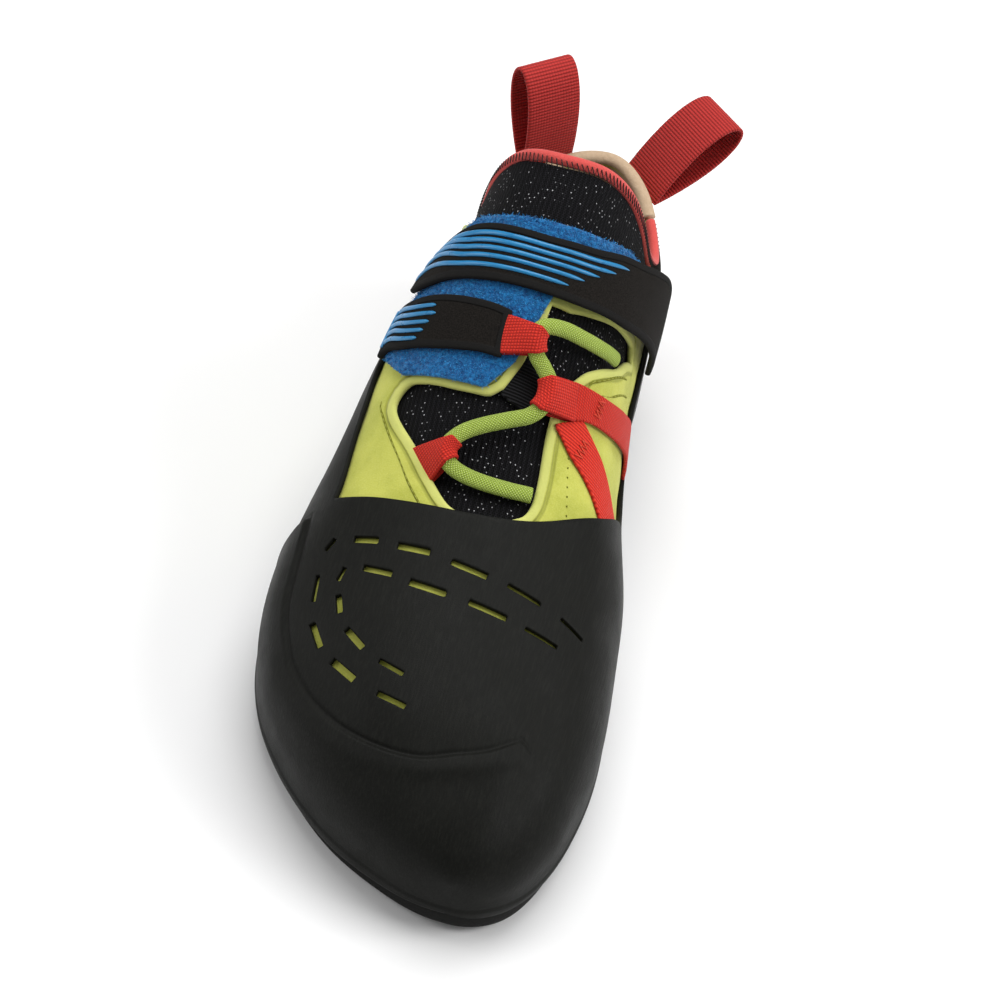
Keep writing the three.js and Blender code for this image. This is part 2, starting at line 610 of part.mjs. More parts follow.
// Red webbing loops that carry the lace, and the black elastic band under it
const LOOP_OUTER = [
  [0.388, 195], [0.408, 201], [0.426, 203], [0.437, 193], [0.436, 187.5], [0.424, 188.5], [0.413, 185.5], [0.399, 189],
];
const LOOP_STRAP = [
  [0.528, 179.3], [0.566, 179.3], [0.568, 171], [0.565, 165.5], [0.554, 167], [0.545, 169.5], [0.538, 172], [0.53, 174],
];
const WEB_TAPE = [
  [0.49, 162], [0.508, 162.5], [0.526, 157], [0.541, 148], [0.555, 137], [0.572, 126], [0.599, 114], [0.636, 102],
  [0.655, 92], [0.66, 82], [0.612, 82], [0.6, 92], [0.587, 100], [0.559, 113], [0.536, 126], [0.517, 140],
  [0.505, 147], [0.495, 155],
];
const WEB_LEG = [
  [0.486, 156], [0.516, 142], [0.508, 135], [0.5, 127], [0.486, 120], [0.462, 113], [0.44, 106], [0.415, 118],
  [0.436, 128], [0.45, 133], [0.461, 139], [0.47, 146], [0.484, 151],
];
const ELASTIC = [[0.4985, 174.8], [0.5255, 170.2], [0.524, 159], [0.493, 161], [0.491, 168]];

function makeElastic() {
  return shell(CLEARANCE, CLEARANCE + ELASTIC_WALL).intersect(cutter(ELASTIC));
}

const strip = (outline, inner) => shell(inner, inner + WEBBING_WALL).intersect(cutter(outline));

// The lace is one cord. Each row is a point of its run: length, turn, and height over the last.
const LACE_RUN = [
  [0.406, 160.3, 2.3], [0.401, 169, 2.4], [0.4, 178, 2.6], [0.404, 185, 3.6], [0.412, 189, 4.6], [0.424, 190.5, 4.8],
  [0.435, 189.5, 4.6], [0.447, 186, 4], [0.458, 180, 3.6], [0.469, 172.5, 3.8], [0.48, 165.5, 4.6],
  [0.494, 161.5, 5.2], [0.508, 160, 5.2], [0.522, 160.5, 5.2], [0.531, 163.5, 5.2], [0.538, 167, 5.8],
  [0.548, 169, 6.6], [0.559, 169, 6.8], [0.567, 166.5, 6.6], [0.574, 160, 5.6], [0.581, 151, 4.6],
  [0.592, 142, 3.6], [0.604, 135, 2.9], [0.614, 129.8, 2.6],
];
const LACE_SIDES = 8;

function cord(rows, width, height) {
  const centres = rows.map(([at, turn, out]) => footPoint(at, turn, out));
  const rings = centres.map((centre, k) => {
    const run = centres[Math.min(k + 1, rows.length - 1)].clone().sub(centres[Math.max(k - 1, 0)]).normalize();
    const up = outward(lengthToShare(rows[k][0]), radians(rows[k][1]));
    const across = run.clone().cross(up).normalize();
    const above = across.clone().cross(run);
    const ring = [];
    for (let side = 0; side < LACE_SIDES; side += 1) {
      const turn = 2 * Math.PI * side / LACE_SIDES;
      ring.push(centre.clone()
        .addScaledVector(across, Math.cos(turn) * width / 2)
        .addScaledVector(above, Math.sin(turn) * height / 2));
    }
    return ring;
  });
  return skin(rings);
}

// A webbing strip holds the lace in a sleeve at its end, between two rows of the lace's run
const SLEEVE_OUTER = [4, 6];
const SLEEVE_INNER = [11, 13];
const SLEEVE_STRAP = [15, 17];
function sleeve([from, to]) {
  const grow = 2 * (CLEARANCE + WEBBING_WALL);
  const rows = LACE_RUN.slice(from, to + 1);
  return cord(rows, LACE_WIDTH + grow, LACE_HEIGHT + grow);
}
const laceRoom = () => cord(LACE_RUN, LACE_WIDTH + 2 * CLEARANCE, LACE_HEIGHT + 2 * CLEARANCE);

// Pull loops of folded webbing, seated on the wall of the heel, with the share of their length that they lean out
const PULL_LOOPS = [
  { name: 'pull_loop_outer', at: 0.966, turn: 252.5, lean: 0.232 },
  { name: 'pull_loop_inner', at: 0.98, turn: 106.5, lean: 0.805 },
];
const PULL_LOOP_STEPS = 16;
const PULL_LOOP_TAB = 4.5;
const PULL_LOOP_SEAT = HEEL_ROLL_WALL - HEEL_ROLL_INSIDE + CLEARANCE + WEBBING_WALL;
const PULL_LOOP_FULLNESS = 0.65;
const PULL_LOOP_FOOT = 5;

function teardrop(length, depth) {
  const points = [];
  for (let step = 1; step < PULL_LOOP_STEPS; step += 1) {
    const turn = 2 * Math.PI * step / PULL_LOOP_STEPS;
    points.push(new THREE.Vector2(
      Math.sin(turn) * Math.sin(turn / 2) * depth * PULL_LOOP_FULLNESS,
      length * (1 - Math.cos(turn)) / 2,
    ));
  }
  return points;
}

function makePullLoop({ at, turn, lean }) {
  const seat = footPoint(at, turn, PULL_LOOP_SEAT);
  const upright = new THREE.Vector3(0, 0, 1);
  const away = outward(lengthToShare(at), radians(turn)).setZ(0).normalize();
  const width = away.clone().cross(upright);
  const axis = away.clone().multiplyScalar(lean).addScaledVector(upright, Math.sqrt(1 - lean * lean));
  const thick = axis.clone().cross(width);
  const outer = teardrop(PULL_LOOP_LENGTH, PULL_LOOP_DEPTH + 2 * WEBBING_WALL);
  const shape = new THREE.Shape([new THREE.Vector2(-WEBBING_WALL, 0), new THREE.Vector2(WEBBING_WALL, 0), ...outer]);
  const hole = teardrop(PULL_LOOP_LENGTH - (PULL_LOOP_FOOT + 1) * WEBBING_WALL, PULL_LOOP_DEPTH);
  hole.forEach((point) => {
    point.y += PULL_LOOP_FOOT * WEBBING_WALL;
  });
  shape.holes.push(new THREE.Path(hole));
  const loop = new THREE.ExtrudeGeometry(shape, { depth: PULL_LOOP_WIDTH, bevelEnabled: false });
  loop.translate(0, 0, -PULL_LOOP_WIDTH / 2);
  loop.applyMatrix4(new THREE.Matrix4().makeBasis(thick, axis, width).setPosition(seat));
  const tab = new THREE.BoxGeometry(2 * WEBBING_WALL, PULL_LOOP_TAB, PULL_LOOP_WIDTH);
  tab.translate(0, -PULL_LOOP_TAB / 2 + WEBBING_WALL, 0);
  tab.applyMatrix4(new THREE.Matrix4().makeBasis(upright.clone().cross(width), upright, width).setPosition(seat));
  return toSolid(loop).add(toSolid(tab));
}

const group = new THREE.Group();

function add(name, solid, color, roughness) {
  const material = new THREE.MeshStandardMaterial({ color, roughness, metalness: 0 });
  const mesh = new THREE.Mesh(toGeometry(solid), material);
  mesh.name = name;
  group.add(mesh);
}

const rand = makeRand();
const room = laceRoom();
add('outsole', makeOutsole(), '#1c1c1a', 0.8);
add('insole', makeInsole(), '#4a4a48', 0.9);
add('upper', makeUpper(), '#c0c24f', 0.9);
add('tongue', makeTongue(), '#1d1d1f', 0.9);
add('toe_rand', makeToeRand(rand), '#262621', 0.65);
add('heel_rand', makeHeelRand(rand), '#262621', 0.65);
add('collar_binding', makeBinding(), '#d6494a', 0.9);
add('heel_roll', makeHeelRoll(), '#b9a183', 0.9);
add('loop_patch', makePatch(), '#1c6fae', 0.95);
add('lower_strap', makeLowerStrap(), '#26221f', 0.85);
add('upper_strap', makeUpperStrap(), '#26221f', 0.85);
add('webbing_loop_outer', strip(LOOP_OUTER, WEBBING_IN).add(sleeve(SLEEVE_OUTER)).subtract(room), '#e2402f', 0.8);
add('webbing_loop_strap', strip(LOOP_STRAP, STRAP_IN).add(sleeve(SLEEVE_STRAP)).subtract(room), '#e2402f', 0.8);
const innerStrips = strip(WEB_TAPE, WEBBING_IN).add(strip(WEB_LEG, WEBBING_IN)).add(sleeve(SLEEVE_INNER));
add('webbing_inner', innerStrips.subtract(room).subtract(randRegion()), '#e2402f', 0.8);
add('elastic_band', makeElastic(), '#1a1a1b', 0.9);
add('lace', cord(LACE_RUN, LACE_WIDTH, LACE_HEIGHT), '#9aa544', 0.9);
PULL_LOOPS.forEach((loop) => add(loop.name, makePullLoop(loop), '#c8372f', 0.8));

export default group;
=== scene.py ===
# A climbing shoe for the right foot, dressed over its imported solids.
# The sections follow the order in which the shoe is put together on its last.
import math

import bpy
import numpy as np
from mathutils import Matrix, Vector
from mathutils.kdtree import KDTree


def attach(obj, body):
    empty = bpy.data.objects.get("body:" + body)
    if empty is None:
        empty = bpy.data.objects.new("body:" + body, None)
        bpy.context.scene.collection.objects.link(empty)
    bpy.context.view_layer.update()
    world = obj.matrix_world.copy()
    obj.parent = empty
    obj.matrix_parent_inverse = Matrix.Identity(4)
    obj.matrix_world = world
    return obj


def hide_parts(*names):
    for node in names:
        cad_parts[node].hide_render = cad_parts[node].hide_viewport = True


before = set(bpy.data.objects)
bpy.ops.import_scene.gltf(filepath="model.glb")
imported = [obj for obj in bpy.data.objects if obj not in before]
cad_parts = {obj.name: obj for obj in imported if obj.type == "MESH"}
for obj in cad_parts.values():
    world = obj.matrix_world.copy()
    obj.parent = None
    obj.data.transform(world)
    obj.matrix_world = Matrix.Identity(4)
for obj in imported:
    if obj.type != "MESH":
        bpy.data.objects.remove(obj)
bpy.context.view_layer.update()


# INSOLE
# A thin footbed of grey cloth over foam lies on the bottom of the last.
# The last itself is defined here, as every layer of the shoe is laid over it at a distance in millimetres.
MM = 0.001
LAST_LENGTH = 238.0
BALL_WIDTH = 92.0
INSTEP_HEIGHT = 110.0
ARCH_RISE = 9.7
HEEL_SWELL = 7.0
HEEL_SWELL_REACH = 50.0
BALL_AT = 0.3
LAST_FLOOR = 6.3
SWELL_FROM = 0.78
NORMAL_STEP = 0.001
UV_MM = 100.0
LAST_COLUMNS = ["at", "outer", "inner", "rise", "waist", "crest", "square_top", "square_bottom"]
LAST_ROWS = np.array([
    [0, -0.223, 0.223, 0.28, 0.145, 0.2, 2, 5],
    [0.02, -0.022, 0.353, 0.175, 0.15, 0.255, 2.1, 8],
    [0.06, 0.163, 0.418, 0.07, 0.155, 0.309, 2.2, 12],
    [0.12, 0.326, 0.462, 0, 0.164, 0.373, 2.3, 14],
    [0.2, 0.462, 0.484, -0.04, 0.173, 0.432, 2.3, 14],
    [0.33, 0.534, 0.459, -0.05, 0.19, 0.524, 2.2, 14],
    [0.4, 0.522, 0.435, 0.13, 0.218, 0.582, 2.1, 10],
    [0.5, 0.495, 0.364, 0.69, 0.264, 0.714, 2, 6],
    [0.6, 0.462, 0.321, 1, 0.3, 0.873, 2, 4.5],
    [0.7, 0.397, 0.288, 0.74, 0.3, 1.005, 2, 4.5],
    [0.8, 0.353, 0.277, 0.12, 0.273, 1.127, 2.2, 5],
    [0.88, 0.3, 0.255, 0, 0.259, 1.186, 2.35, 6],
    [0.94, 0.225, 0.19, 0, 0.255, 1.223, 2.45, 6],
    [0.98, 0.125, 0.11, 0.23, 0.255, 1.236, 2.5, 6],
    [1, -0.011, 0.011, 0.7, 0.255, 1.236, 2.5, 6],
])


def length_to_share(at):
    return np.arccos(1 - 2 * np.asarray(at, float)) / math.pi


def share_to_length(share):
    return (1 - np.cos(math.pi * np.asarray(share, float))) / 2


def along_foot(at):
    return (np.asarray(at, float) - BALL_AT) * LAST_LENGTH


def last_section(share):
    """The named sizes of the last's cross section at each share of its length."""
    knots = length_to_share(LAST_ROWS[:, 0])
    values = LAST_ROWS
    slopes = np.diff(values, axis=0) / np.diff(knots)[:, None]
    spans = np.diff(knots)
    tangents = np.empty_like(values)
    tangents[0] = slopes[0]
    tangents[-1] = slopes[-1]
    before = spans[:-1, None]
    after = spans[1:, None]
    tangents[1:-1] = (slopes[:-1] * after + slopes[1:] * before) / (before + after)
    share = np.asarray(share, float)
    row = np.clip(np.searchsorted(knots, share) - 1, 0, len(knots) - 2)
    step = spans[row]
    u = ((share - knots[row]) / step)[..., None]
    step = step[..., None]
    ease = u * u * (3 - 2 * u)
    mixed = (values[row] * (1 - ease) + values[row + 1] * ease
             + tangents[row] * step * u * (1 - u) ** 2 + tangents[row + 1] * step * u * u * (u - 1))
    section = {name: mixed[..., k] for k, name in enumerate(LAST_COLUMNS)}
    section["at"] = share_to_length(share)
    section["centre"] = (section["inner"] - section["outer"]) * BALL_WIDTH / 2
    section["half"] = (section["inner"] + section["outer"]) * BALL_WIDTH / 2
    section["floor"] = LAST_FLOOR + np.maximum(0, section["rise"]) * ARCH_RISE
    section["waist"] = section["waist"] * INSTEP_HEIGHT
    section["crest"] = section["crest"] * INSTEP_HEIGHT
    rear = np.clip((section["at"] - SWELL_FROM) / (1 - SWELL_FROM), 0, 1)
    section["swell"] = HEEL_SWELL * rear * rear * (3 - 2 * rear)
    return section


def swollen(section, z):
    """How far the back of the heel stands out at a height."""
    drop = (z - section["waist"]) / HEEL_SWELL_REACH
    return section["swell"] * np.maximum(-1, 1 - drop * drop)


def last_point(share, turn):
    """Points of the last. The turn is 0 under the sole, pi / 2 at the inner side and pi on the ridge."""
    section = last_section(share)
    sine = np.sin(turn)
    cosine = np.cos(turn)
    above = cosine < 0
    power = 2 / np.where(above, section["square_top"], section["square_bottom"])
    height = np.where(above, section["crest"] - section["waist"], section["waist"] - section["floor"])
    x = section["centre"] + section["half"] * np.sign(sine) * np.abs(sine) ** power
    z = section["waist"] - height * np.sign(cosine) * np.abs(cosine) ** power
    y = along_foot(section["at"]) + swollen(section, z)
    return np.stack([x, y, z], -1)


def unit(vectors):
    return vectors / np.maximum(np.linalg.norm(vectors, axis=-1, keepdims=True), 1e-9)


def outward(share, turn):
    """Unit normals of the last, level at its two tips."""
    step = NORMAL_STEP
    safe = np.clip(share, 1.5 * step, 1 - 1.5 * step)
    along = last_point(safe + step, turn) - last_point(safe - step, turn)
    around = last_point(safe, turn + step) - last_point(safe, turn - step)
    normal = unit(np.cross(along, around))
    end = (share < step) | (share > 1 - step)
    normal[..., 0] = np.where(end, 0, normal[..., 0])
    return unit(normal)


def foot_point(at, degrees, out):
    """Points at a distance over the last, from lengths and turns in degrees."""
    share = length_to_share(at)
    turn = np.radians(degrees)
    share, turn = np.broadcast_arrays(share, turn)
    out = np.asarray(out, float)
    return last_point(share, turn) + outward(share, turn) * out[..., None]


def mesh_object(name, points, faces, uv=None, edge=None, slots=(), slot_of_face=None):
    """A smooth mesh object from points in millimetres and faces of three or four corners."""
    mesh = bpy.data.meshes.new(name)
    mesh.from_pydata((np.asarray(points) * MM).tolist(), [], [list(map(int, face)) for face in faces])
    loops = np.empty(len(mesh.loops), np.int32)
    mesh.loops.foreach_get("vertex_index", loops)
    for layer, values in (("lay", uv), ("edge", edge)):
        if values is not None:
            flat = np.asarray(values, float)[loops] / UV_MM
            mesh.uv_layers.new(name=layer).data.foreach_set("uv", flat.reshape(-1))
    for finish in slots:
        mesh.materials.append(finish)
    if slot_of_face is not None:
        mesh.polygons.foreach_set("material_index", np.asarray(slot_of_face, np.int32))
    mesh.polygons.foreach_set("use_smooth", np.ones(len(mesh.polygons), bool))
    mesh.update()
    made = bpy.data.objects.new(name, mesh)
    bpy.context.scene.collection.objects.link(made)
    return made


def fit_on(piece, slot_name, *nodes):
    """The piece rides on the shoe and stands for CAD nodes. The slot name is not used."""
    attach(piece, "root")
    if nodes:
        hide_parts(*nodes)
    return piece


def new_finish(name, colour, roughness, sheen=0.0, coat=0.0, specular=0.5):
    """A material with one principled shader. Returns the material, its tree and the shader."""
    finish = bpy.data.materials.new(name)
    finish.use_nodes = True
    tree = finish.node_tree
    shader = tree.nodes["Principled BSDF"]
    shader.inputs["Base Color"].default_value = (*colour, 1)
    shader.inputs["Roughness"].default_value = roughness
    shader.inputs["Sheen Weight"].default_value = sheen
    shader.inputs["Sheen Roughness"].default_value = 0.4
    shader.inputs["Coat Weight"].default_value = coat
    shader.inputs["Specular IOR Level"].default_value = specular
    finish.diffuse_color = (*colour, 1)
    return finish, tree, shader


def wire(tree, socket, value):
    """Joins a socket to another, or sets its number or colour."""
    if isinstance(value, bpy.types.NodeSocket):
        tree.links.new(value, socket)
    else:
        socket.default_value = value


def reckon(tree, operation, *values):
    node = tree.nodes.new("ShaderNodeMath")
    node.operation = operation
    for socket, value in zip(node.inputs, values):
        wire(tree, socket, value)
    return node.outputs[0]


def layer_map(tree, layer="lay"):
    """The two coordinates of a UV layer, in millimetres."""
    node = tree.nodes.new("ShaderNodeUVMap")
    node.uv_map = layer
    parts = tree.nodes.new("ShaderNodeSeparateXYZ")
    tree.links.new(node.outputs[0], parts.inputs[0])
    return tuple(reckon(tree, "MULTIPLY", parts.outputs[k], UV_MM) for k in (0, 1))


def place_map(tree, stretch=(1, 1, 1)):
    """The place on the shoe in millimetres, stretched along its axes."""
    place = tree.nodes.new("ShaderNodeTexCoord")
    scale = tree.nodes.new("ShaderNodeVectorMath")
    scale.operation = "MULTIPLY"
    tree.links.new(place.outputs["Object"], scale.inputs[0])
    scale.inputs[1].default_value = [s / MM for s in stretch]
    return scale.outputs[0]


def noise(tree, vector, scale, detail=4.0, roughness=0.6):
    node = tree.nodes.new("ShaderNodeTexNoise")
    tree.links.new(vector, node.inputs["Vector"])
    node.inputs["Scale"].default_value = scale
    node.inputs["Detail"].default_value = detail
    node.inputs["Roughness"].default_value = roughness
    return node.outputs["Fac"]


def span(tree, value, low, high, start=0.0, end=1.0):
    """A value carried from one range to another, smoothly and clamped."""
    node = tree.nodes.new("ShaderNodeMapRange")
    node.interpolation_type = "SMOOTHSTEP"
    for socket, given in zip(node.inputs, (value, low, high, start, end)):
        wire(tree, socket, given)
    return node.outputs[0]


def blend_colour(tree, factor, first, second):
    node = tree.nodes.new("ShaderNodeMix")
    node.data_type = "RGBA"
    wire(tree, node.inputs[0], factor)
    for socket, colour in ((node.inputs[6], first), (node.inputs[7], second)):
        wire(tree, socket, colour if isinstance(colour, bpy.types.NodeSocket) else (*colour, 1))
    return node.outputs[2]


def relief(tree, shader, height, depth, strength=1.0):
    """A bump from a height between 0 and 1, with its full depth in millimetres."""
    node = tree.nodes.new("ShaderNodeBump")
    node.inputs["Distance"].default_value = depth * MM
    node.inputs["Strength"].default_value = strength
    tree.links.new(height, node.inputs["Height"])
    tree.links.new(node.outputs[0], shader.inputs["Normal"])


def dress(tree, shader, pattern, dark, light, depth):
    """Lets one pattern carry both the colour and the relief of a finish."""
    wire(tree, shader.inputs["Base Color"], blend_colour(tree, pattern, dark, light))
    relief(tree, shader, pattern, depth)


INSOLE_STATIONS = 90
INSOLE_STEPS = 36
INSOLE_THICKNESS = 2.2
insole_share, insole_across = np.meshgrid(
    np.linspace(0.02, 0.98, INSOLE_STATIONS), np.linspace(-0.955, 0.955, INSOLE_STEPS), indexing="ij")
insole_section = last_section(insole_share)
insole_power = insole_section["square_bottom"]
insole_height = insole_section["waist"] - insole_section["floor"]
insole_z = (insole_section["waist"]
            - insole_height * (1 - np.abs(insole_across) ** insole_power) ** (1 / insole_power) + 0.3)
insole_x = insole_section["centre"] + insole_section["half"] * insole_across
insole_y = along_foot(insole_section["at"]) + swollen(insole_section, insole_z)
insole_bottom = np.stack([insole_x, insole_y, insole_z], -1)
insole_fade = 1 - 0.6 * np.clip((np.abs(insole_across) - 0.75) / 0.2, 0, 1)
insole_top = insole_bottom + np.stack(
    [np.zeros_like(insole_z), np.zeros_like(insole_z), INSOLE_THICKNESS * insole_fade], -1)


def grid_faces(rows, columns, first=0, closed=False):
    faces = []
    for row in range(rows - 1):
        for column in range(columns if closed else columns - 1):
            after = (column + 1) % columns
            a = first + row * columns + column
            b = first + row * columns + after
            faces.append((a, a + columns, b + columns, b))
    return faces


insole_count = INSOLE_STATIONS * INSOLE_STEPS
insole_faces = [tuple(reversed(face)) for face in grid_faces(INSOLE_STATIONS, INSOLE_STEPS)]
insole_faces += grid_faces(INSOLE_STATIONS, INSOLE_STEPS, insole_count)
insole_cloth, insole_tree, insole_shader = new_finish("insole_cloth", (0.09, 0.09, 0.09), 0.95, sheen=0.2)
insole_weave = noise(insole_tree, place_map(insole_tree), 1.6)
dress(insole_tree, insole_shader, insole_weave, (0.05, 0.05, 0.05), (0.14, 0.14, 0.14), 0.2)
insole_piece = mesh_object(
    "insole_footbed", np.concatenate([insole_bottom.reshape(-1, 3), insole_top.reshape(-1, 3)]),
    insole_faces, slots=[insole_cloth])
fit_on(insole_piece, "insole_cloth", "insole")


# SUEDE UPPER
# Lime suede is cut to the throat, stitched along its rolled edges and lasted under the foot.
# Every panel of the shoe is cut from a fine grid over the last, along the lines of its pattern.
def signed_distance(polygon, a, b):
    """Distance from points to the edge of a flat polygon, positive inside it."""
    polygon = np.asarray(polygon, float)
    nearest = np.full(np.shape(a), 1e12)
    inside = np.zeros(np.shape(a), bool)
    for (ax, ay), (bx, by) in zip(polygon, np.roll(polygon, -1, axis=0)):
        run_x = bx - ax
        run_y = by - ay
        length = run_x * run_x + run_y * run_y
        if length < 1e-12:
            continue
        along = np.clip(((a - ax) * run_x + (b - ay) * run_y) / length, 0, 1)
        gap = (a - ax - along * run_x) ** 2 + (b - ay - along * run_y) ** 2
        nearest = np.minimum(nearest, gap)
        if ay != by:
            crosses = (ay > b) != (by > b)
            inside ^= crosses & (a < run_x * (b - ay) / run_y + ax)
    return np.sqrt(nearest) * np.where(inside, 1, -1)


TURN_MM = 0.75
SHARE_MM = 330
SIDE_MM = 22
SIDE_REACH = 0.985
SIDE_POWER = 5
SNAP_PART = 0.36
FAR_FROM_EDGE = 20.0


class Cloth:
    """A grid over the last, with the place, normal, length, turn and layout of each vertex."""

    def __init__(self, table, measured_at):
        self.table = table
        self.base = table[:, 0:3]
        self.normal = table[:, 3:6]
        self.at = table[:, 6]
        self.degrees = table[:, 7]
        self.lay = table[:, 8:10]
        place = self.base + self.normal * measured_at
        self.x, self.y, self.z = place.T

    def from_side(self, outline):
        """Distance inside an outline drawn from the side, as lengths and heights."""
        drawn = [(along_foot(at), up * INSTEP_HEIGHT) for at, up in outline]
        return signed_distance(drawn, self.y, self.z)

    def from_above(self, outline):
        """Distance inside an outline drawn from above, as widths and lengths."""
        drawn = [(across * BALL_WIDTH, along_foot(at)) for across, at in outline]
        return signed_distance(drawn, self.x, self.y)

    def on_last(self, outline):
        """Distance inside an outline drawn on the last, as lengths and turns."""
        drawn = [(at * LAST_LENGTH, turn * TURN_MM) for at, turn in outline]
        return signed_distance(drawn, self.at * LAST_LENGTH, self.degrees * TURN_MM)


def curve(points, steps):
    """A smooth line through a few points."""
    points = np.asarray(points, float)
    last = len(points) - 1
    made = []
    for step in range(steps + 1):
        place = last * step / steps
        first = min(int(place), last - 1)
        w = place - first
        p0 = points[max(first - 1, 0)]
        p1 = points[first]
        p2 = points[first + 1]
        p3 = points[min(first + 2, last)]
        leave = (p2 - p0) / 2
        arrive = (p3 - p1) / 2
        made.append((2 * p1 - 2 * p2 + leave + arrive) * w ** 3
                    + (3 * p2 - 3 * p1 - 2 * leave - arrive) * w ** 2 + leave * w + p1)
    return [tuple(point) for point in made]


def share_steps(start, end, step):
    """Shares from one length to another with about even steps in millimetres."""
    low, high = length_to_share([start, end])
    count = max(2, int((high - low) * SHARE_MM / step))
    return np.linspace(low, high, count)


def turn_steps(start, end, step):
    """Turns in degrees with about even steps in millimetres, also down the square sides."""
    first = max(start, 90)
    last = min(end, 270)
    over = np.linspace(first, last, max(2, int((last - first) * TURN_MM / step)))
    down = np.linspace(0, SIDE_REACH, max(3, int(SIDE_MM / step)))[1:] ** SIDE_POWER
    side = np.degrees(np.arcsin(down))
    low = 90 - side[90 - side > start][::-1]
    high = 270 + side[270 + side < end]
    parts = []
    if start < 90:
        parts.append([start])
        parts.append(low)
    parts.append(over)
    if end > 270:
        parts.append(high)
        parts.append([end])
    return np.concatenate(parts)


def grid_triangles(number):
    """Two triangles for each cell of a grid of vertex numbers."""
    a = number[:-1, :-1].reshape(-1)
    b = number[1:, :-1].reshape(-1)
    c = number[1:, 1:].reshape(-1)
    d = number[:-1, 1:].reshape(-1)
    return np.concatenate([np.stack([a, b, c], -1), np.stack([a, c, d], -1)])


def lerp_rows(table, a, b, w):
    return table[a] * (1 - w[:, None]) + table[b] * w[:, None]


def cut_cloth(shares, turns, keep, measured_at):
    """Cuts the grid to where keep is positive. Returns the cloth, its triangles and the kept distances."""
    share, turn = np.meshgrid(shares, np.radians(turns), indexing="ij")
    base = last_point(share, turn)
    normal = outward(share, turn)
    ahead = np.zeros(share.shape)
    ahead[1:] = np.cumsum(np.linalg.norm(np.diff(base, axis=0), axis=-1), axis=0)
    middle = len(shares) // 2
    around = np.zeros(share.shape)
    around[:, 1:] = np.cumsum(np.linalg.norm(np.diff(base, axis=1), axis=-1), axis=1)
    ridge = int(np.argmin(np.abs(turns - 180)))
    around -= around[:, ridge:ridge + 1]
    ahead -= ahead[middle:middle + 1] - ahead[middle, ridge]
    table = np.concatenate([
        base, normal, share_to_length(share)[..., None], np.degrees(turn)[..., None],
        ahead[..., None], around[..., None]], -1)
    rows, columns = share.shape
    table = table.reshape(-1, table.shape[-1])
    field = keep(Cloth(table, measured_at)).reshape(rows, columns)
    number = np.arange(rows * columns).reshape(rows, columns)
    best = np.full((rows, columns), SNAP_PART)
    other = number.copy()
    for d_row, d_column in ((1, 0), (-1, 0), (0, 1), (0, -1)):
        moved = np.roll(field, (-d_row, -d_column), (0, 1))
        there = np.roll(number, (-d_row, -d_column), (0, 1))
        valid = np.ones((rows, columns), bool)
        if d_row:
            valid[-1 if d_row > 0 else 0, :] = False
        if d_column:
            valid[:, -1 if d_column > 0 else 0] = False
        crossing = valid & (field * moved < 0)
        part = np.where(crossing, np.abs(field) / np.maximum(np.abs(field) + np.abs(moved), 1e-9), 1)
        better = part < best
        best = np.where(better, part, best)
        other = np.where(better, there, other)
    snap = (other != number).reshape(-1)
    new = table.copy()
    new[snap] = lerp_rows(table, np.flatnonzero(snap), other.reshape(-1)[snap], best.reshape(-1)[snap])
    table = new
    field = field.reshape(-1).copy()
    field[snap] = 0
    triangles = grid_triangles(number)
    signs = np.sign(field)[triangles]
    triangles = triangles[(signs > 0).any(1)]
    signs = np.sign(field)[triangles]
    whole = triangles[(signs >= 0).all(1)]
    mixed = triangles[(signs < 0).any(1)]
    made = {}
    pairs = []
    parts = []
    count = len(table)
    trimmed = []
    for corners in mixed.tolist():
        ring = []
        for k in range(3):
            p = corners[k]
            q = corners[(k + 1) % 3]
            if field[p] >= 0:
                ring.append(p)
            if field[p] * field[q] < 0:
                key = (min(p, q), max(p, q))
                if key not in made:
                    made[key] = count + len(pairs)
                    pairs.append(key)
                    parts.append(abs(field[key[0]]) / (abs(field[key[0]]) + abs(field[key[1]])))
                ring.append(made[key])
        for k in range(1, len(ring) - 1):
            trimmed.append((ring[0], ring[k], ring[k + 1]))
    if pairs:
        keys = np.array(pairs)
        table = np.concatenate([table, lerp_rows(table, keys[:, 0], keys[:, 1], np.array(parts))])
        field = np.concatenate([field, np.zeros(len(pairs))])
        whole = np.concatenate([whole, np.array(trimmed)])
    used, triangles = np.unique(whole, return_inverse=True)
    return Cloth(table[used], measured_at), triangles.reshape(-1, 3), field[used]


def free_edges(triangles):
    """Directed edges that belong to one triangle only."""
    edges = np.concatenate([triangles[:, [0, 1]], triangles[:, [1, 2]], triangles[:, [2, 0]]])
    size = int(triangles.max()) + 1
    forward = edges[:, 0] * size + edges[:, 1]
    backward = edges[:, 1] * size + edges[:, 0]
    return edges[~np.isin(forward, backward)]


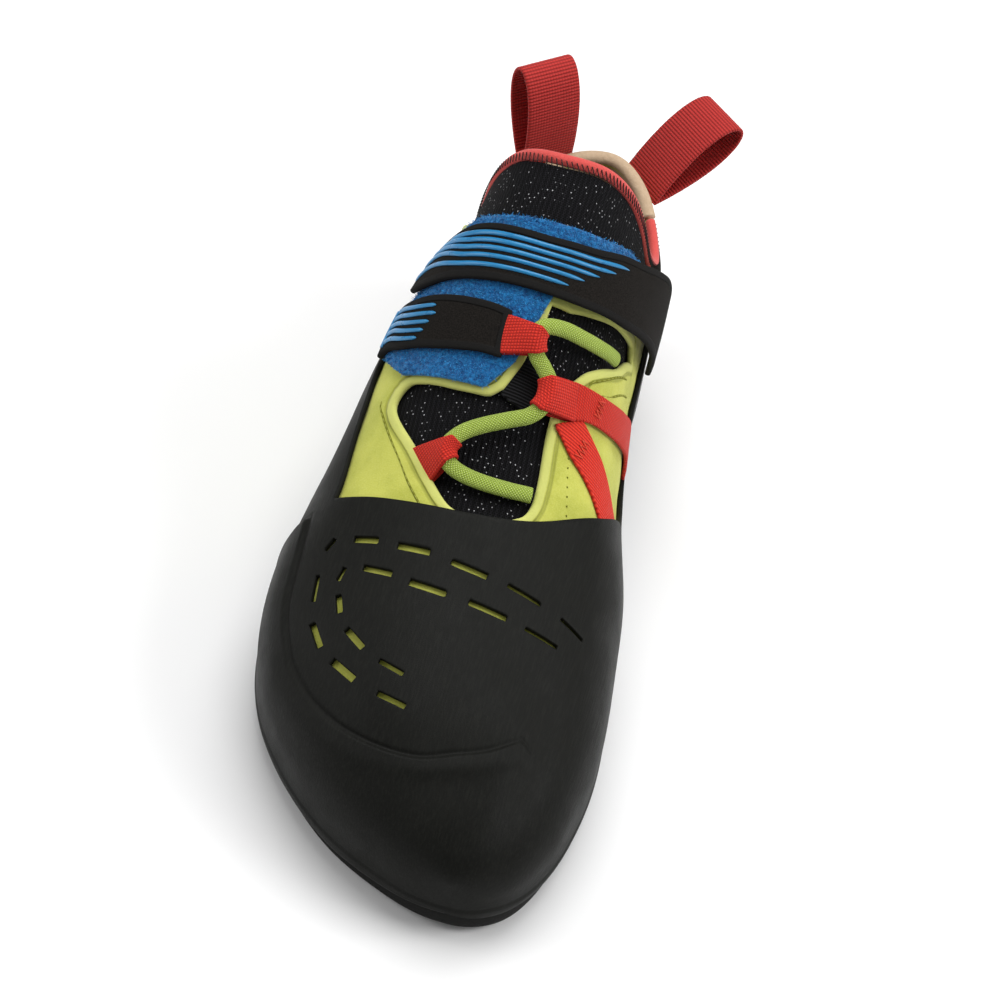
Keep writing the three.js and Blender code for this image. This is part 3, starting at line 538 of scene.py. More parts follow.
def wall_object(name, base, normal, triangles, lay, outside, inside, finishes,
                bulge=0.5, back=True, rim_rows=4, open_ends=None):
    """A wall with rounded free edges. The distances may be numbers or one for each vertex."""
    count = len(base)
    outside = np.broadcast_to(np.asarray(outside, float), count)
    inside = np.broadcast_to(np.asarray(inside, float), count)
    edges = free_edges(triangles)
    if open_ends is not None:
        edges = edges[~(open_ends[edges[:, 0]] & open_ends[edges[:, 1]])]
    run = np.zeros((count, 3))
    step = unit(base[edges[:, 1]] - base[edges[:, 0]])
    np.add.at(run, edges[:, 0], step)
    np.add.at(run, edges[:, 1], step)
    rim = np.unique(edges)
    outwards = unit(np.cross(run[rim], normal[rim]))
    half = (outside[rim] - inside[rim]) / 2
    middle = (outside[rim] + inside[rim]) / 2
    distance = edge_distance(base, edges)
    points = [base + normal * outside[:, None]]
    lays = [lay]
    reach = [distance]
    faces = [triangles]
    finish = [np.zeros(len(triangles), int)]
    where = np.full(count, -1)
    where[rim] = np.arange(len(rim))
    rows = [rim]
    first = count
    for row in range(1, rim_rows + 1):
        angle = math.pi * row / (rim_rows + 1)
        points.append(base[rim] + normal[rim] * (middle + half * math.cos(angle))[:, None]
                      + outwards * bulge * math.sin(angle))
        lays.append(lay[rim])
        reach.append(np.full(len(rim), -bulge * math.sin(angle)))
        rows.append(first + np.arange(len(rim)))
        first += len(rim)
    if back:
        points.append(base + normal * inside[:, None])
        lays.append(lay)
        reach.append(distance)
        faces.append(triangles[:, ::-1] + first)
        finish.append(np.full(len(triangles), 2))
        rows.append(first + rim)
    else:
        points.append(base[rim] + normal[rim] * inside[rim][:, None])
        lays.append(lay[rim])
        reach.append(np.zeros(len(rim)))
        rows.append(first + np.arange(len(rim)))
    start = where[edges[:, 0]]
    end = where[edges[:, 1]]
    for over, under in zip(rows[:-1], rows[1:]):
        faces.append(np.stack([over[end], over[start], under[start]], -1))
        faces.append(np.stack([over[end], under[start], under[end]], -1))
        finish += [np.full(len(edges), 1), np.full(len(edges), 1)]
    reach = np.concatenate(reach)
    index = np.minimum(np.concatenate(finish), len(finishes) - 1)
    return mesh_object(name, np.concatenate(points), np.concatenate(faces), uv=np.concatenate(lays),
                       edge=np.stack([reach, np.zeros_like(reach)], -1), slots=finishes, slot_of_face=index)


def edge_distance(base, edges):
    """How far each vertex is from the nearest free edge, up to a few millimetres."""
    if len(edges) == 0:
        return np.full(len(base), FAR_FROM_EDGE)
    samples = np.concatenate([base[edges[:, 0]], (base[edges[:, 0]] + base[edges[:, 1]]) / 2])
    tree = KDTree(len(samples))
    for k, sample in enumerate(samples.tolist()):
        tree.insert(sample, k)
    tree.balance()
    return np.array([min(FAR_FROM_EDGE, tree.find(point)[2]) for point in base.tolist()])


def panel(name, shares, turns, keep, outside, inside, finishes, bulge=0.5, back=True, shape=None):
    """A piece cut from a layer over the last. Shape, given the cloth and its edge, may move its outside."""
    middle = (outside + inside) / 2
    cloth, triangles, _ = cut_cloth(shares, turns, lambda cloth: keep(cloth) - bulge, middle)
    tips = (cloth.at < 1e-7) | (cloth.at > 1 - 1e-7)
    outer = np.full(len(cloth.at), float(outside))
    if shape is not None:
        edges = free_edges(triangles)
        edges = edges[~(tips[edges[:, 0]] & tips[edges[:, 1]])]
        outer = outer + shape(cloth, edge_distance(cloth.base, edges))
    return wall_object(name, cloth.base, cloth.normal, triangles, cloth.lay, outer, inside, finishes,
                       bulge=bulge, back=back, open_ends=tips)


def trace(shares, turns, field, out):
    """Lines over the last where a field is zero, as places, normals and lengths along the last."""
    cloth, triangles, kept = cut_cloth(shares, turns, field, out)
    edges = free_edges(triangles)
    edges = edges[(np.abs(kept[edges[:, 0]]) < 1e-9) & (np.abs(kept[edges[:, 1]]) < 1e-9)]
    follow = dict(edges.tolist())
    starts = [a for a in follow if a not in set(follow.values())] or list(follow)[:1]
    lines = []
    seen = set()
    while starts or follow:
        start = starts.pop() if starts else next(iter(follow))
        chain = [start]
        while chain[-1] in follow and chain[-1] not in seen:
            seen.add(chain[-1])
            chain.append(follow.pop(chain[-1]))
        if len(chain) > 2:
            place = cloth.base[chain] + cloth.normal[chain] * out
            lines.append(np.concatenate([place, cloth.normal[chain], cloth.at[chain, None]], 1))
    return sorted(lines, key=lambda line: -len(line))


# The pattern lines below repeat the solid's own lines, as lengths with heights, widths or turns.
COLLAR_LINE = curve([
    (0.69, 1.12), (0.735, 1.085), (0.765, 1.03), (0.79, 0.93), (0.808, 0.82), (0.828, 0.7), (0.86, 0.62),
    (0.895, 0.6), (0.935, 0.63), (0.975, 0.675), (1.03, 0.71),
], 60)
OVER_COLLAR = 1.6
COLLAR_ROOF = [(1.1, 0.74), (1.1, OVER_COLLAR), (0.6, OVER_COLLAR), (0.6, 1.16)]
BINDING_HEIGHT = 3.6
RIM_CLEARANCE = 0.3
SIDE_SPLIT = 0.848
ROLL_SPLIT = 0.93


def lowered(line, distance):
    line = np.asarray(line)
    ends = np.concatenate([line[:1], line, line[-1:]])
    run = unit((ends[2:] - ends[:-2]) * [LAST_LENGTH, INSTEP_HEIGHT])
    aside = np.stack([run[:, 1] / LAST_LENGTH, -run[:, 0] / INSTEP_HEIGHT], -1)
    return [tuple(point) for point in line + aside * distance]


def over_collar(distance):
    return lowered(COLLAR_LINE, distance) + COLLAR_ROOF


THROAT = (
    curve([(0.36, 178), (0.367, 185), (0.397, 194), (0.43, 203), (0.467, 215), (0.488, 219), (0.502, 216),
           (0.5, 209), (0.49, 194), (0.487, 181)], 50)
    + [(0.498, 176), (0.526, 171), (0.572, 166), (0.592, 165)]
    + curve([(0.598, 156), (0.625, 141), (0.668, 124), (0.705, 112)], 16)
    + curve([(0.7, 109), (0.662, 117), (0.62, 125), (0.583, 137), (0.558, 145), (0.52, 153), (0.48, 156),
             (0.42, 158), (0.385, 161), (0.368, 168)], 40)
)
SUEDE_TOP = [
    (0.53, 1.3), (0.62, 1.03), (0.637, 0.982), (0.66, 0.93), (0.702, 0.85), (0.745, 0.77), (0.793, 0.69),
    (0.848, 0.6), (SIDE_SPLIT, OVER_COLLAR), (0.53, OVER_COLLAR),
]
UPPER_WALL = 2.0


def suede_keep(cloth):
    throat = -cloth.on_last(THROAT)
    roof = -cloth.from_side(SUEDE_TOP)
    collar = -cloth.from_side(over_collar(BINDING_HEIGHT + RIM_CLEARANCE))
    return np.minimum(np.minimum(throat, roof), collar)


# Lime suede: a short nap with brighter brushed patches, a rolled edge painted lighter as a painted highlight,
# and a groove beside it painted darker as painted shade
SUEDE_BRIGHT = (0.52, 0.53, 0.09)
SUEDE_DEEP = (0.4, 0.42, 0.055)
# Pale nap flecks, and the painted highlight on the rolled edge
SUEDE_FLECK_AND_EDGE_HIGHLIGHT = (0.64, 0.66, 0.22)
suede, suede_tree, suede_shader = new_finish("lime_suede", SUEDE_BRIGHT, 0.95, sheen=0.15, specular=0.2)
nap_cloud = noise(suede_tree, place_map(suede_tree), 0.07, 5)
nap_fine = noise(suede_tree, place_map(suede_tree), 2.2, 5, 0.75)
suede_colour = blend_colour(suede_tree, span(suede_tree, nap_cloud, 0.35, 0.65), SUEDE_DEEP, SUEDE_BRIGHT)
suede_colour = blend_colour(
    suede_tree, span(suede_tree, nap_fine, 0.3, 0.75, 0.0, 0.35), suede_colour, SUEDE_FLECK_AND_EDGE_HIGHLIGHT)
suede_rim, _ = layer_map(suede_tree, "edge")
suede_edge_highlight = span(suede_tree, suede_rim, 1.1, 1.7, 1.0, 0.0)
# The groove beside the rolled edge: a dip in the relief, and painted shade in the colour.
suede_groove_relief_and_shade = reckon(suede_tree, "SUBTRACT", span(suede_tree, suede_rim, 1.5, 2.1),
                      span(suede_tree, suede_rim, 2.3, 3.1))
# Painted highlight: the rolled edge is painted lighter where the roll catches the light.
suede_colour = blend_colour(
    suede_tree, reckon(suede_tree, "MULTIPLY", suede_edge_highlight, 0.55), suede_colour, SUEDE_FLECK_AND_EDGE_HIGHLIGHT)
# Painted shade: the groove is darkened with deep olive.
suede_colour = blend_colour(
    suede_tree, reckon(suede_tree, "MULTIPLY", suede_groove_relief_and_shade, 0.45), suede_colour, (0.2, 0.21, 0.03))
wire(suede_tree, suede_shader.inputs["Base Color"], suede_colour)
suede_height = reckon(suede_tree, "SUBTRACT", reckon(suede_tree, "MULTIPLY", nap_fine, 0.35),
                      reckon(suede_tree, "MULTIPLY", suede_groove_relief_and_shade, 1.0))
relief(suede_tree, suede_shader, suede_height, 0.45)

# The lining is beige leather with a fine pebbled grain
lining, lining_tree, lining_shader = new_finish("lining_leather", (0.5, 0.37, 0.24), 0.75, specular=0.35)
lining_grain = noise(lining_tree, place_map(lining_tree), 0.9, 4)
dress(lining_tree, lining_shader, lining_grain, (0.4, 0.28, 0.17), (0.58, 0.44, 0.3), 0.25)


SUEDE_WAVE = 0.12
SUEDE_GROOVE = 0.35
SUEDE_BORDER = 2.3


def suede_shape(cloth, edge):
    """Soft unevenness of stretched suede, with a groove beside its rolled edge."""
    wave = SUEDE_WAVE * np.sin(cloth.y * 0.35 + cloth.x * 0.2) * np.sin(cloth.z * 0.3)
    groove = SUEDE_GROOVE * np.exp(-((edge - SUEDE_BORDER) / 0.6) ** 2)
    return wave * np.clip(edge / 6, 0, 1) - groove


suede_piece = panel("suede_upper", share_steps(0, 1, 1.25), turn_steps(40, 320, 1.25), suede_keep,
                    UPPER_WALL, 0.0, [suede, suede, lining], bulge=1.0, shape=suede_shape)
fit_on(suede_piece, "suede", "upper")


def tube_rings(path, normals, width, height, sides):
    """Rings of an oval cord along a path. Its height follows the normals."""
    path = np.asarray(path, float)
    run = unit(np.gradient(path, axis=0))
    across = unit(np.cross(run, normals))
    up = np.cross(across, run)
    turn = np.linspace(0, 2 * math.pi, sides, endpoint=False)
    width = np.broadcast_to(width, len(path))[:, None, None]
    height = np.broadcast_to(height, len(path))[:, None, None]
    return (path[:, None] + across[:, None] * np.cos(turn)[None, :, None] * width / 2
            + up[:, None] * np.sin(turn)[None, :, None] * height / 2)


def cords(name, rings_of_cords, finishes, lays=None):
    """One object of several tubes with closed ends."""
    points = []
    faces = []
    uv = []
    first = 0
    for k, rings in enumerate(rings_of_cords):
        rows, sides = rings.shape[:2]
        points.append(rings.reshape(-1, 3))
        faces += grid_faces(rows, sides, first, closed=True)
        faces.append(tuple(range(first + sides - 1, first - 1, -1))[::-1])
        faces.append(tuple(range(first + (rows - 1) * sides, first + rows * sides))[::-1])
        if lays is not None:
            uv.append(lays[k])
        first += rows * sides
    lay = np.concatenate(uv) if uv else None
    return mesh_object(name, np.concatenate(points), faces, uv=lay, slots=finishes)


def walk(path, step):
    """Points at even steps along a path, with its other columns carried along."""
    path = np.asarray(path, float)
    length = np.concatenate([[0], np.cumsum(np.linalg.norm(np.diff(path[:, :3], axis=0), axis=1))])
    count = max(2, int(length[-1] / step) + 1)
    places = np.linspace(0, length[-1], count)
    return np.stack([np.interp(places, length, path[:, k]) for k in range(path.shape[1])], -1)


def thread_finish(name, colour):
    thread, tree, shader = new_finish(name, colour, 0.8, specular=0.2)
    twist = noise(tree, place_map(tree), 4.0, 2)
    wire(tree, shader.inputs["Base Color"],
         blend_colour(tree, twist, tuple(0.6 * c for c in colour), tuple(min(1, 1.5 * c) for c in colour)))
    return thread


def foot_frame(at, degrees, out):
    """Points at a distance over the last, with their normals."""
    return foot_point(at, degrees, out), outward(length_to_share(at), np.radians(degrees))


def line_on_foot(points, out, step):
    """A smooth line over the last at a distance from it, with its normals, in even steps."""
    rows = np.array(curve(points, 60))
    return walk(np.concatenate(foot_frame(rows[:, 0], rows[:, 1], out), 1), step)


STITCH_ROWS = 6
STITCH_SIDES = 8


def stitches(line, pitch, length, width):
    """Short oval stitches laid along a line."""
    marks = walk(line, pitch)
    place = marks[:, :3]
    normal = unit(marks[:, 3:6])
    run = unit(np.gradient(place, axis=0))
    part = np.linspace(-0.5, 0.5, STITCH_ROWS)
    shape = width * np.sqrt(np.clip(1 - (2 * part) ** 2, 0.05, 1))
    rings = []
    for centre, up, along in zip(place, normal, run):
        path = centre + along * part[:, None] * length
        rings.append(tube_rings(path, np.tile(up, (STITCH_ROWS, 1)), shape, shape, STITCH_SIDES))
    return rings


# Stitched grooves beside the throat and at the top of the inner panel, and a row of pinholes, drawn as dark
# olive cords and dots that barely stand out of the suede: painted shade where the grooves and holes are
groove_and_pinhole_shade, _, _ = new_finish("painted_groove_shade", (0.17, 0.18, 0.022), 0.95, specular=0.1)
suede_thread = thread_finish("olive_thread", (0.27, 0.28, 0.05))
OUTER_SEAM = [(0.495, 227), (0.487, 226), (0.445, 215.4), (0.416, 207.9), (0.386, 200.8), (0.361, 194.1)]
INNER_SEAMS = [
    [(0.553, 141), (0.561, 139.6), (0.57, 136.4), (0.592, 129.3), (0.645, 114.7)],
    [(0.565, 132.1), (0.584, 125), (0.638, 110.4)],
]
PINHOLES = [(0.478, 146), (0.453, 146), (0.434, 145.7), (0.408, 145.2)]
GROOVE_WIDTH = 0.9
grooves = [line_on_foot(seam, UPPER_WALL - 0.28, 0.6) for seam in [OUTER_SEAM] + INNER_SEAMS]
groove_rings = [tube_rings(line[:, :3], unit(line[:, 3:]), GROOVE_WIDTH, 0.75, 8) for line in grooves]
pinhole_rings = stitches(line_on_foot(PINHOLES, UPPER_WALL, 0.6), 2.6, 0.6, 0.55)
# Painted shade: dark cords and dots in place of the grooves and pinholes.
fit_on(cords("suede_groove_shade_cords", groove_rings + pinhole_rings, [groove_and_pinhole_shade]), "suede")
seam_lines = [line_on_foot(seam, UPPER_WALL + 0.05, 0.6) for seam in [OUTER_SEAM] + INNER_SEAMS]
seam_stitches = [ring for line in seam_lines for ring in stitches(line, 2.4, 1.7, 0.42)]
fit_on(cords("suede_stitches", seam_stitches, [suede_thread]), "suede")


# TONGUE
# A sock of black stretch mesh fills the throat and rises to the front of the collar.
# Fine knitted ribs run along it, with pale flecks here and there in staggered rows.
TONGUE_SIDE = [
    (0.335, 0.3), (0.4, 0.44), (0.5, 0.46), (0.6, 0.47), (0.7, 0.49), (0.8, 0.51), (SIDE_SPLIT, 0.52),
    (SIDE_SPLIT, OVER_COLLAR), (0.335, OVER_COLLAR),
]


def tongue_keep(cloth):
    collar = -cloth.from_side(over_collar(BINDING_HEIGHT + RIM_CLEARANCE))
    return np.minimum(cloth.from_side(TONGUE_SIDE), collar)


def fleck_pattern(tree, along, around, pitch_along, pitch_around, size):
    """Small round marks in staggered rows, with a chance between 0 and 1 for each."""
    row = reckon(tree, "DIVIDE", along, pitch_along)
    shifted = reckon(tree, "MULTIPLY", reckon(tree, "MODULO", reckon(tree, "FLOOR", row), 2.0), 0.5)
    column = reckon(tree, "ADD", reckon(tree, "DIVIDE", around, pitch_around), shifted)
    a = reckon(tree, "MULTIPLY", reckon(tree, "SUBTRACT", reckon(tree, "FRACT", row), 0.5), pitch_along)
    b = reckon(tree, "MULTIPLY", reckon(tree, "SUBTRACT", reckon(tree, "FRACT", column), 0.5), pitch_around)
    squares = reckon(tree, "ADD", reckon(tree, "MULTIPLY", a, a), reckon(tree, "MULTIPLY", b, b))
    gap = reckon(tree, "SQRT", squares)
    cell = tree.nodes.new("ShaderNodeCombineXYZ")
    wire(tree, cell.inputs[0], reckon(tree, "FLOOR", row))
    wire(tree, cell.inputs[1], reckon(tree, "FLOOR", column))
    chance = tree.nodes.new("ShaderNodeTexWhiteNoise")
    chance.noise_dimensions = "2D"
    wire(tree, chance.inputs["Vector"], cell.outputs[0])
    return span(tree, gap, size * 0.6, size, 1.0, 0.0), chance.outputs["Value"]


mesh_cloth, mesh_tree, mesh_shader = new_finish("stretch_mesh", (0.009, 0.009, 0.01), 0.85, specular=0.1)
mesh_u, mesh_v = layer_map(mesh_tree)
mesh_u = reckon(mesh_tree, "ADD", mesh_u, 500.0)
mesh_v = reckon(mesh_tree, "ADD", mesh_v, 500.0)
mesh_flecks, mesh_chance = fleck_pattern(mesh_tree, mesh_u, mesh_v, 1.3, 1.5, 0.22)
mesh_pits, _ = fleck_pattern(mesh_tree, mesh_u, mesh_v, 0.65, 0.75, 0.33)
mesh_flecks = reckon(mesh_tree, "MULTIPLY", mesh_flecks, span(mesh_tree, mesh_chance, 0.68, 1.0))
mesh_rib = span(mesh_tree, reckon(mesh_tree, "PINGPONG", mesh_v, 0.75), 0.1, 0.6)
# Painted light and shade: the knitted ribs are lighter on their tops than between them.
mesh_yarn = blend_colour(mesh_tree, mesh_rib, (0.005, 0.005, 0.006), (0.013, 0.0125, 0.015))
# Painted shade: the pits of the mesh are darkened nearly to black.
mesh_colour = blend_colour(mesh_tree, mesh_pits, mesh_yarn, (0.003, 0.003, 0.003))
wire(mesh_tree, mesh_shader.inputs["Base Color"],
     blend_colour(mesh_tree, mesh_flecks, mesh_colour, (0.5, 0.5, 0.52)))
mesh_height = reckon(mesh_tree, "SUBTRACT", mesh_rib, reckon(mesh_tree, "MULTIPLY", mesh_pits, 0.6))
relief(mesh_tree, mesh_shader, mesh_height, 0.3)
tongue_piece = panel("mesh_tongue", share_steps(0.33, SIDE_SPLIT, 1.3), turn_steps(95, 265, 1.3),
                     tongue_keep, -0.3, -2.1, [mesh_cloth, mesh_cloth, lining], bulge=0.6)
fit_on(tongue_piece, "stretch_mesh", "tongue")


# COLLAR BINDING
# Coral red stretch tape is folded over the rim of the mesh.
# Slanted black whip stitches hold it along the inner edge.
tape, tape_tree, tape_shader = new_finish("binding_tape", (0.6, 0.06, 0.055), 0.85, sheen=0.15)
tape_rib = noise(tape_tree, place_map(tape_tree), 2.4, 3)
dress(tape_tree, tape_shader, tape_rib, (0.5, 0.04, 0.035), (0.74, 0.1, 0.085), 0.3)

BINDING_THICKNESS = 3.0
SEAM_GAP = 0.0007


def collar_run(distance, out):
    """The line round the collar at a distance below its rim, from one side of the heel to the other."""
    return trace(share_steps(0.62, 1, 0.8), turn_steps(90, 270, 0.8),
                 lambda cloth: cloth.from_side(over_collar(distance)), out)[0]


def swept(run, step, width, height, sides):
    path = walk(run, step)
    return tube_rings(path[:, :3], unit(path[:, 3:6]), width, height, sides)


BINDING_SHIFT = 1.9
SHIFT_FROM = 0.8
SHIFT_LENGTH = 0.07


def ease(part):
    """A smooth step from 0 to 1."""
    part = np.clip(part, 0, 1)
    return part * part * (3 - 2 * part)


def shifted(run):
    """The binding moves outward where it passes from the tongue to the thicker wall of the suede."""
    moved = run.copy()
    moved[:, :3] += run[:, 3:6] * BINDING_SHIFT * ease((run[:, 6:7] - SHIFT_FROM) / SHIFT_LENGTH)
    return moved


binding_run = collar_run(BINDING_HEIGHT / 2, -1.0)
binding_run = shifted(binding_run[binding_run[:, 6] < ROLL_SPLIT - SEAM_GAP])
binding_rings = swept(binding_run, 0.7, BINDING_HEIGHT - 0.1, BINDING_THICKNESS, 20)
binding_piece = cords("rim_binding", [binding_rings], [tape])
fit_on(binding_piece, "binding_tape", "collar_binding")

black_thread = thread_finish("black_thread", (0.012, 0.012, 0.012))
WHIP_PITCH = 1.55
WHIP_REACH = 1.25
WHIP_SLANT = 0.55
WHIP_WIDTH = 0.34


def whip_rings(run, pitch, reach, slant, width):
    """Slanted stitches across a line."""
    marks = walk(run, pitch)
    path = marks[:, :3]
    up = unit(marks[:, 3:6])
    along = unit(np.gradient(path, axis=0))
    side = np.cross(along, up)
    part = np.linspace(-1, 1, STITCH_ROWS)[:, None]
    across = side * reach + along * slant
    return [tube_rings(path[k] + across[k] * part, np.tile(up[k], (STITCH_ROWS, 1)), width, width, 6)
            for k in range(len(path))]


seam_run = collar_run(BINDING_HEIGHT - 0.7, 0.62)
seam_run = shifted(seam_run[seam_run[:, 6] < ROLL_SPLIT - 0.004])
whips = whip_rings(seam_run, WHIP_PITCH, WHIP_REACH, WHIP_SLANT, WHIP_WIDTH)
fit_on(cords("rim_whip_stitches", whips, [black_thread]), "binding_tape")


# HEEL ROLL
# The back of the collar is a soft roll of beige lining leather over foam.
ROLL_HEIGHT = 3.5
ROLL_THICKNESS = 4.2
roll_run = collar_run(BINDING_HEIGHT / 2, 0.7)
roll_ahead = np.flatnonzero(roll_run[:, 6] < ROLL_SPLIT + SEAM_GAP)
roll_run = np.concatenate([roll_run[roll_ahead[-1] + 1:], roll_run[:roll_ahead[0]]])
roll_piece = cords("heel_roll_leather", [swept(roll_run, 0.7, ROLL_HEIGHT, ROLL_THICKNESS, 22)], [lining])
fit_on(roll_piece, "lining_leather", "heel_roll")


# RAND
# Black rubber wraps the toe and the heel, with a sling band and a window on the outer side.
# The toe cap is pierced by two rows of slots, and a thicker wrap runs round the toe below a ridge.
RAND_IN = 2.3
RAND_OUT = 3.8
TOE_WRAP_STEP = 0.8
WRAP_FADE_FROM = 0.26
WRAP_FADE_TO = 0.37
RIDGE_SLOPE = 1.0
RIDGE_CREASE = 0.35
RIDGE_SWELL = 0.5
SOLE_BAND_STEP = 0.35
SOLE_BAND_HEIGHT = 5.5
CAP_EDGE = curve([
    (-0.6, 0.4), (-0.43, 0.371), (-0.3, 0.36), (-0.17, 0.355), (-0.02, 0.356), (0.12, 0.367), (0.23, 0.392),
    (0.34, 0.437), (0.385, 0.48),
], 60)
CAP_PLAN = CAP_EDGE + [(0.8, 0.5), (0.8, -0.2), (-0.8, -0.2), (-0.8, 0.4)]
SLING_TOP = curve([
    (0.34, 0.44), (0.38, 0.47), (0.45, 0.505), (0.53, 0.545), (0.6, 0.57), (0.72, 0.575), (0.85, 0.545),
    (0.94, 0.545), (1.03, 0.575),
], 60)
INNER_TOP = curve([
    (0.44, 0.45), (0.475, 0.4), (0.53, 0.335), (0.6, 0.3), (0.7, 0.315), (0.78, 0.38), (0.86, 0.48),
    (0.94, 0.545), (1.03, 0.575),
], 60)
SLING_WINDOW = curve([
    (0.405, 0.33), (0.45, 0.405), (0.51, 0.452), (0.57, 0.475), (0.65, 0.46), (0.73, 0.42), (0.79, 0.345),
    (0.74, 0.27), (0.65, 0.25), (0.55, 0.245), (0.46, 0.25), (0.405, 0.28), (0.395, 0.305), (0.405, 0.33),
], 70)
TOE_RIDGE = curve([
    (-0.5, 0.36), (-0.487, 0.31), (-0.467, 0.237), (-0.413, 0.182), (-0.37, 0.156), (-0.3, 0.126),
    (-0.196, 0.098), (-0.076, 0.081), (0.043, 0.077), (0.15, 0.09), (0.23, 0.104), (0.305, 0.128),
], 60)
CAP_SLOTS = [
    (0.3, 223, 0.313, 220, 1.4), (0.31, 212, 0.309, 203, 1.9), (0.305, 196, 0.304, 186, 1.9),
    (0.299, 180, 0.294, 170, 1.7), (0.293, 163, 0.288, 151, 1.1), (0.286, 142, 0.28, 131, 0.9),
    (0.269, 224, 0.238, 225, 1.4), (0.212, 225, 0.185, 222, 1.9), (0.169, 217, 0.15, 209, 1.9),
    (0.138, 200, 0.129, 190, 1.4),
    (0.26, 215, 0.275, 213, 1.3), (0.275, 206, 0.271, 196, 1.7), (0.265, 190, 0.261, 180, 1.9),
    (0.259, 174, 0.255, 162, 1.6), (0.253, 155, 0.251, 142, 1.0), (0.242, 214, 0.222, 213, 1.7),
    (0.203, 210, 0.184, 204, 1.7), (0.172, 198, 0.162, 190, 1.2),
]
SLOT_BULGE = 0.25
SLOT_DEPTH = 8.0
NO_SLOT = 50.0


def slot_distance(cloth):
    """Distance outside the nearest slot."""
    nearest = np.full(len(cloth.at), NO_SLOT)
    place = np.stack([cloth.x, cloth.y, cloth.z], -1)
    for from_at, from_turn, to_at, to_turn, slot_width in CAP_SLOTS:
        start = foot_point(from_at, from_turn, RAND_OUT)
        end = foot_point(to_at, to_turn, RAND_OUT)
        middle_at = (from_at + to_at) / 2
        middle_turn = (from_turn + to_turn) / 2
        up = foot_point(middle_at, middle_turn, 1.0) - foot_point(middle_at, middle_turn, 0.0)
        run = end - start
        length = np.linalg.norm(run)
        across = unit(np.cross(up, run))
        along = np.cross(across, up)
        offset = place - (start + end) / 2
        a = np.abs(offset @ along) - length / 2
        b = np.abs(offset @ across) - slot_width / 2
        c = np.abs(offset @ up)
        gap = np.maximum(a, b)
        gap = np.where(c < SLOT_DEPTH, gap, NO_SLOT)
        nearest = np.minimum(nearest, gap)
    return nearest


def bottom_line(cloth):
    section = last_section(length_to_share(cloth.at))
    return cloth.z - (section["floor"] - UPPER_WALL)


def rand_keep(cloth):
    cap = cloth.from_above(CAP_PLAN)
    sling = cloth.from_side(SLING_TOP + [(1.2, 0.58), (1.2, -0.3), (SLING_TOP[0][0], -0.3)])
    sling = np.minimum(sling, -cloth.from_side(SLING_WINDOW))
    inner = cloth.from_side(INNER_TOP + [(1.2, 0.58), (1.2, -0.3), (INNER_TOP[0][0], -0.3)])
    band = np.where(cloth.x < 0, sling, inner)
    return np.minimum(np.minimum(np.maximum(cap, band), slot_distance(cloth)), bottom_line(cloth))


def rand_shape(cloth, edge):
    """The thicker wrap below the toe ridge, fading out on the inner side, with a crease along its lip."""
    fade = 1 - ease((cloth.x / BALL_WIDTH - WRAP_FADE_FROM) / (WRAP_FADE_TO - WRAP_FADE_FROM))
    below = cloth.from_above(TOE_RIDGE + [(0.8, 0.02), (0.8, -0.2), (-0.8, -0.2), (-0.8, 0.36)])
    lip = TOE_WRAP_STEP * ease(below / RIDGE_SLOPE + 0.5)
    crease = RIDGE_CREASE * np.exp(-((below + 0.6) / 0.5) ** 2)
    swell = RIDGE_SWELL * np.exp(-((below - 3.0) / 2.2) ** 2)
    band = SOLE_BAND_STEP * ease((SOLE_BAND_HEIGHT - bottom_line(cloth)) / 0.8 + 0.5)
    return fade * (lip - crease + swell) + band


RAND_BLACK = (0.011, 0.011, 0.0095)
rubber, rubber_tree, rubber_shader = new_finish("rand_rubber", RAND_BLACK, 0.55, specular=0.09)
brushed = noise(rubber_tree, place_map(rubber_tree, (1, 0.05, 0.4)), 2.2, 3)
cloudy = noise(rubber_tree, place_map(rubber_tree), 0.05, 4)
pores = noise(rubber_tree, place_map(rubber_tree), 3.0, 3)
rubber_colour = blend_colour(rubber_tree, cloudy, (0.0045, 0.0047, 0.004), (0.009, 0.0092, 0.0078))
# The brushed streaks are grain in the relief; their lighter colour is a painted highlight.
rubber_colour = blend_colour(rubber_tree, span(rubber_tree, brushed, 0.4, 0.75, 0.0, 0.5),
                             rubber_colour, (0.014, 0.0144, 0.012))
wire(rubber_tree, rubber_shader.inputs["Base Color"], rubber_colour)
wire(rubber_tree, rubber_shader.inputs["Roughness"], span(rubber_tree, cloudy, 0.3, 0.7, 0.44, 0.58))
rubber_height = reckon(rubber_tree, "ADD", reckon(rubber_tree, "MULTIPLY", brushed, 0.6),
                       reckon(rubber_tree, "MULTIPLY", pores, 0.4))
relief(rubber_tree, rubber_shader, rubber_height, 0.12)
cap_shares = np.unique(np.concatenate([
    share_steps(0, 0.07, 1.0), share_steps(0.07, 0.325, 0.5), share_steps(0.325, 0.5, 1.0),
    share_steps(0.5, 1, 1.8)]))
cap_turns = np.unique(np.concatenate([
    turn_steps(60, 125, 1.2), turn_steps(125, 242, 0.5), turn_steps(242, 300, 1.0)]))
rand_piece = panel("rand_rubber_skin", cap_shares, cap_turns, rand_keep, RAND_OUT, RAND_IN, [rubber],
                   bulge=SLOT_BULGE, back=False, shape=rand_shape)
fit_on(rand_piece, "rand_rubber", "toe_rand", "heel_rand")


# OUTSOLE
# One slab of black rubber runs from toe to heel, ground flush with the rand and slightly rounded.
SOLE_GROW = 2.8
SOLE_STATIONS = 160
SOLE_FOXING = 2.0
SOLE_WIDTH_PART = 0.97
sole_share = np.linspace(0, 1, SOLE_STATIONS)


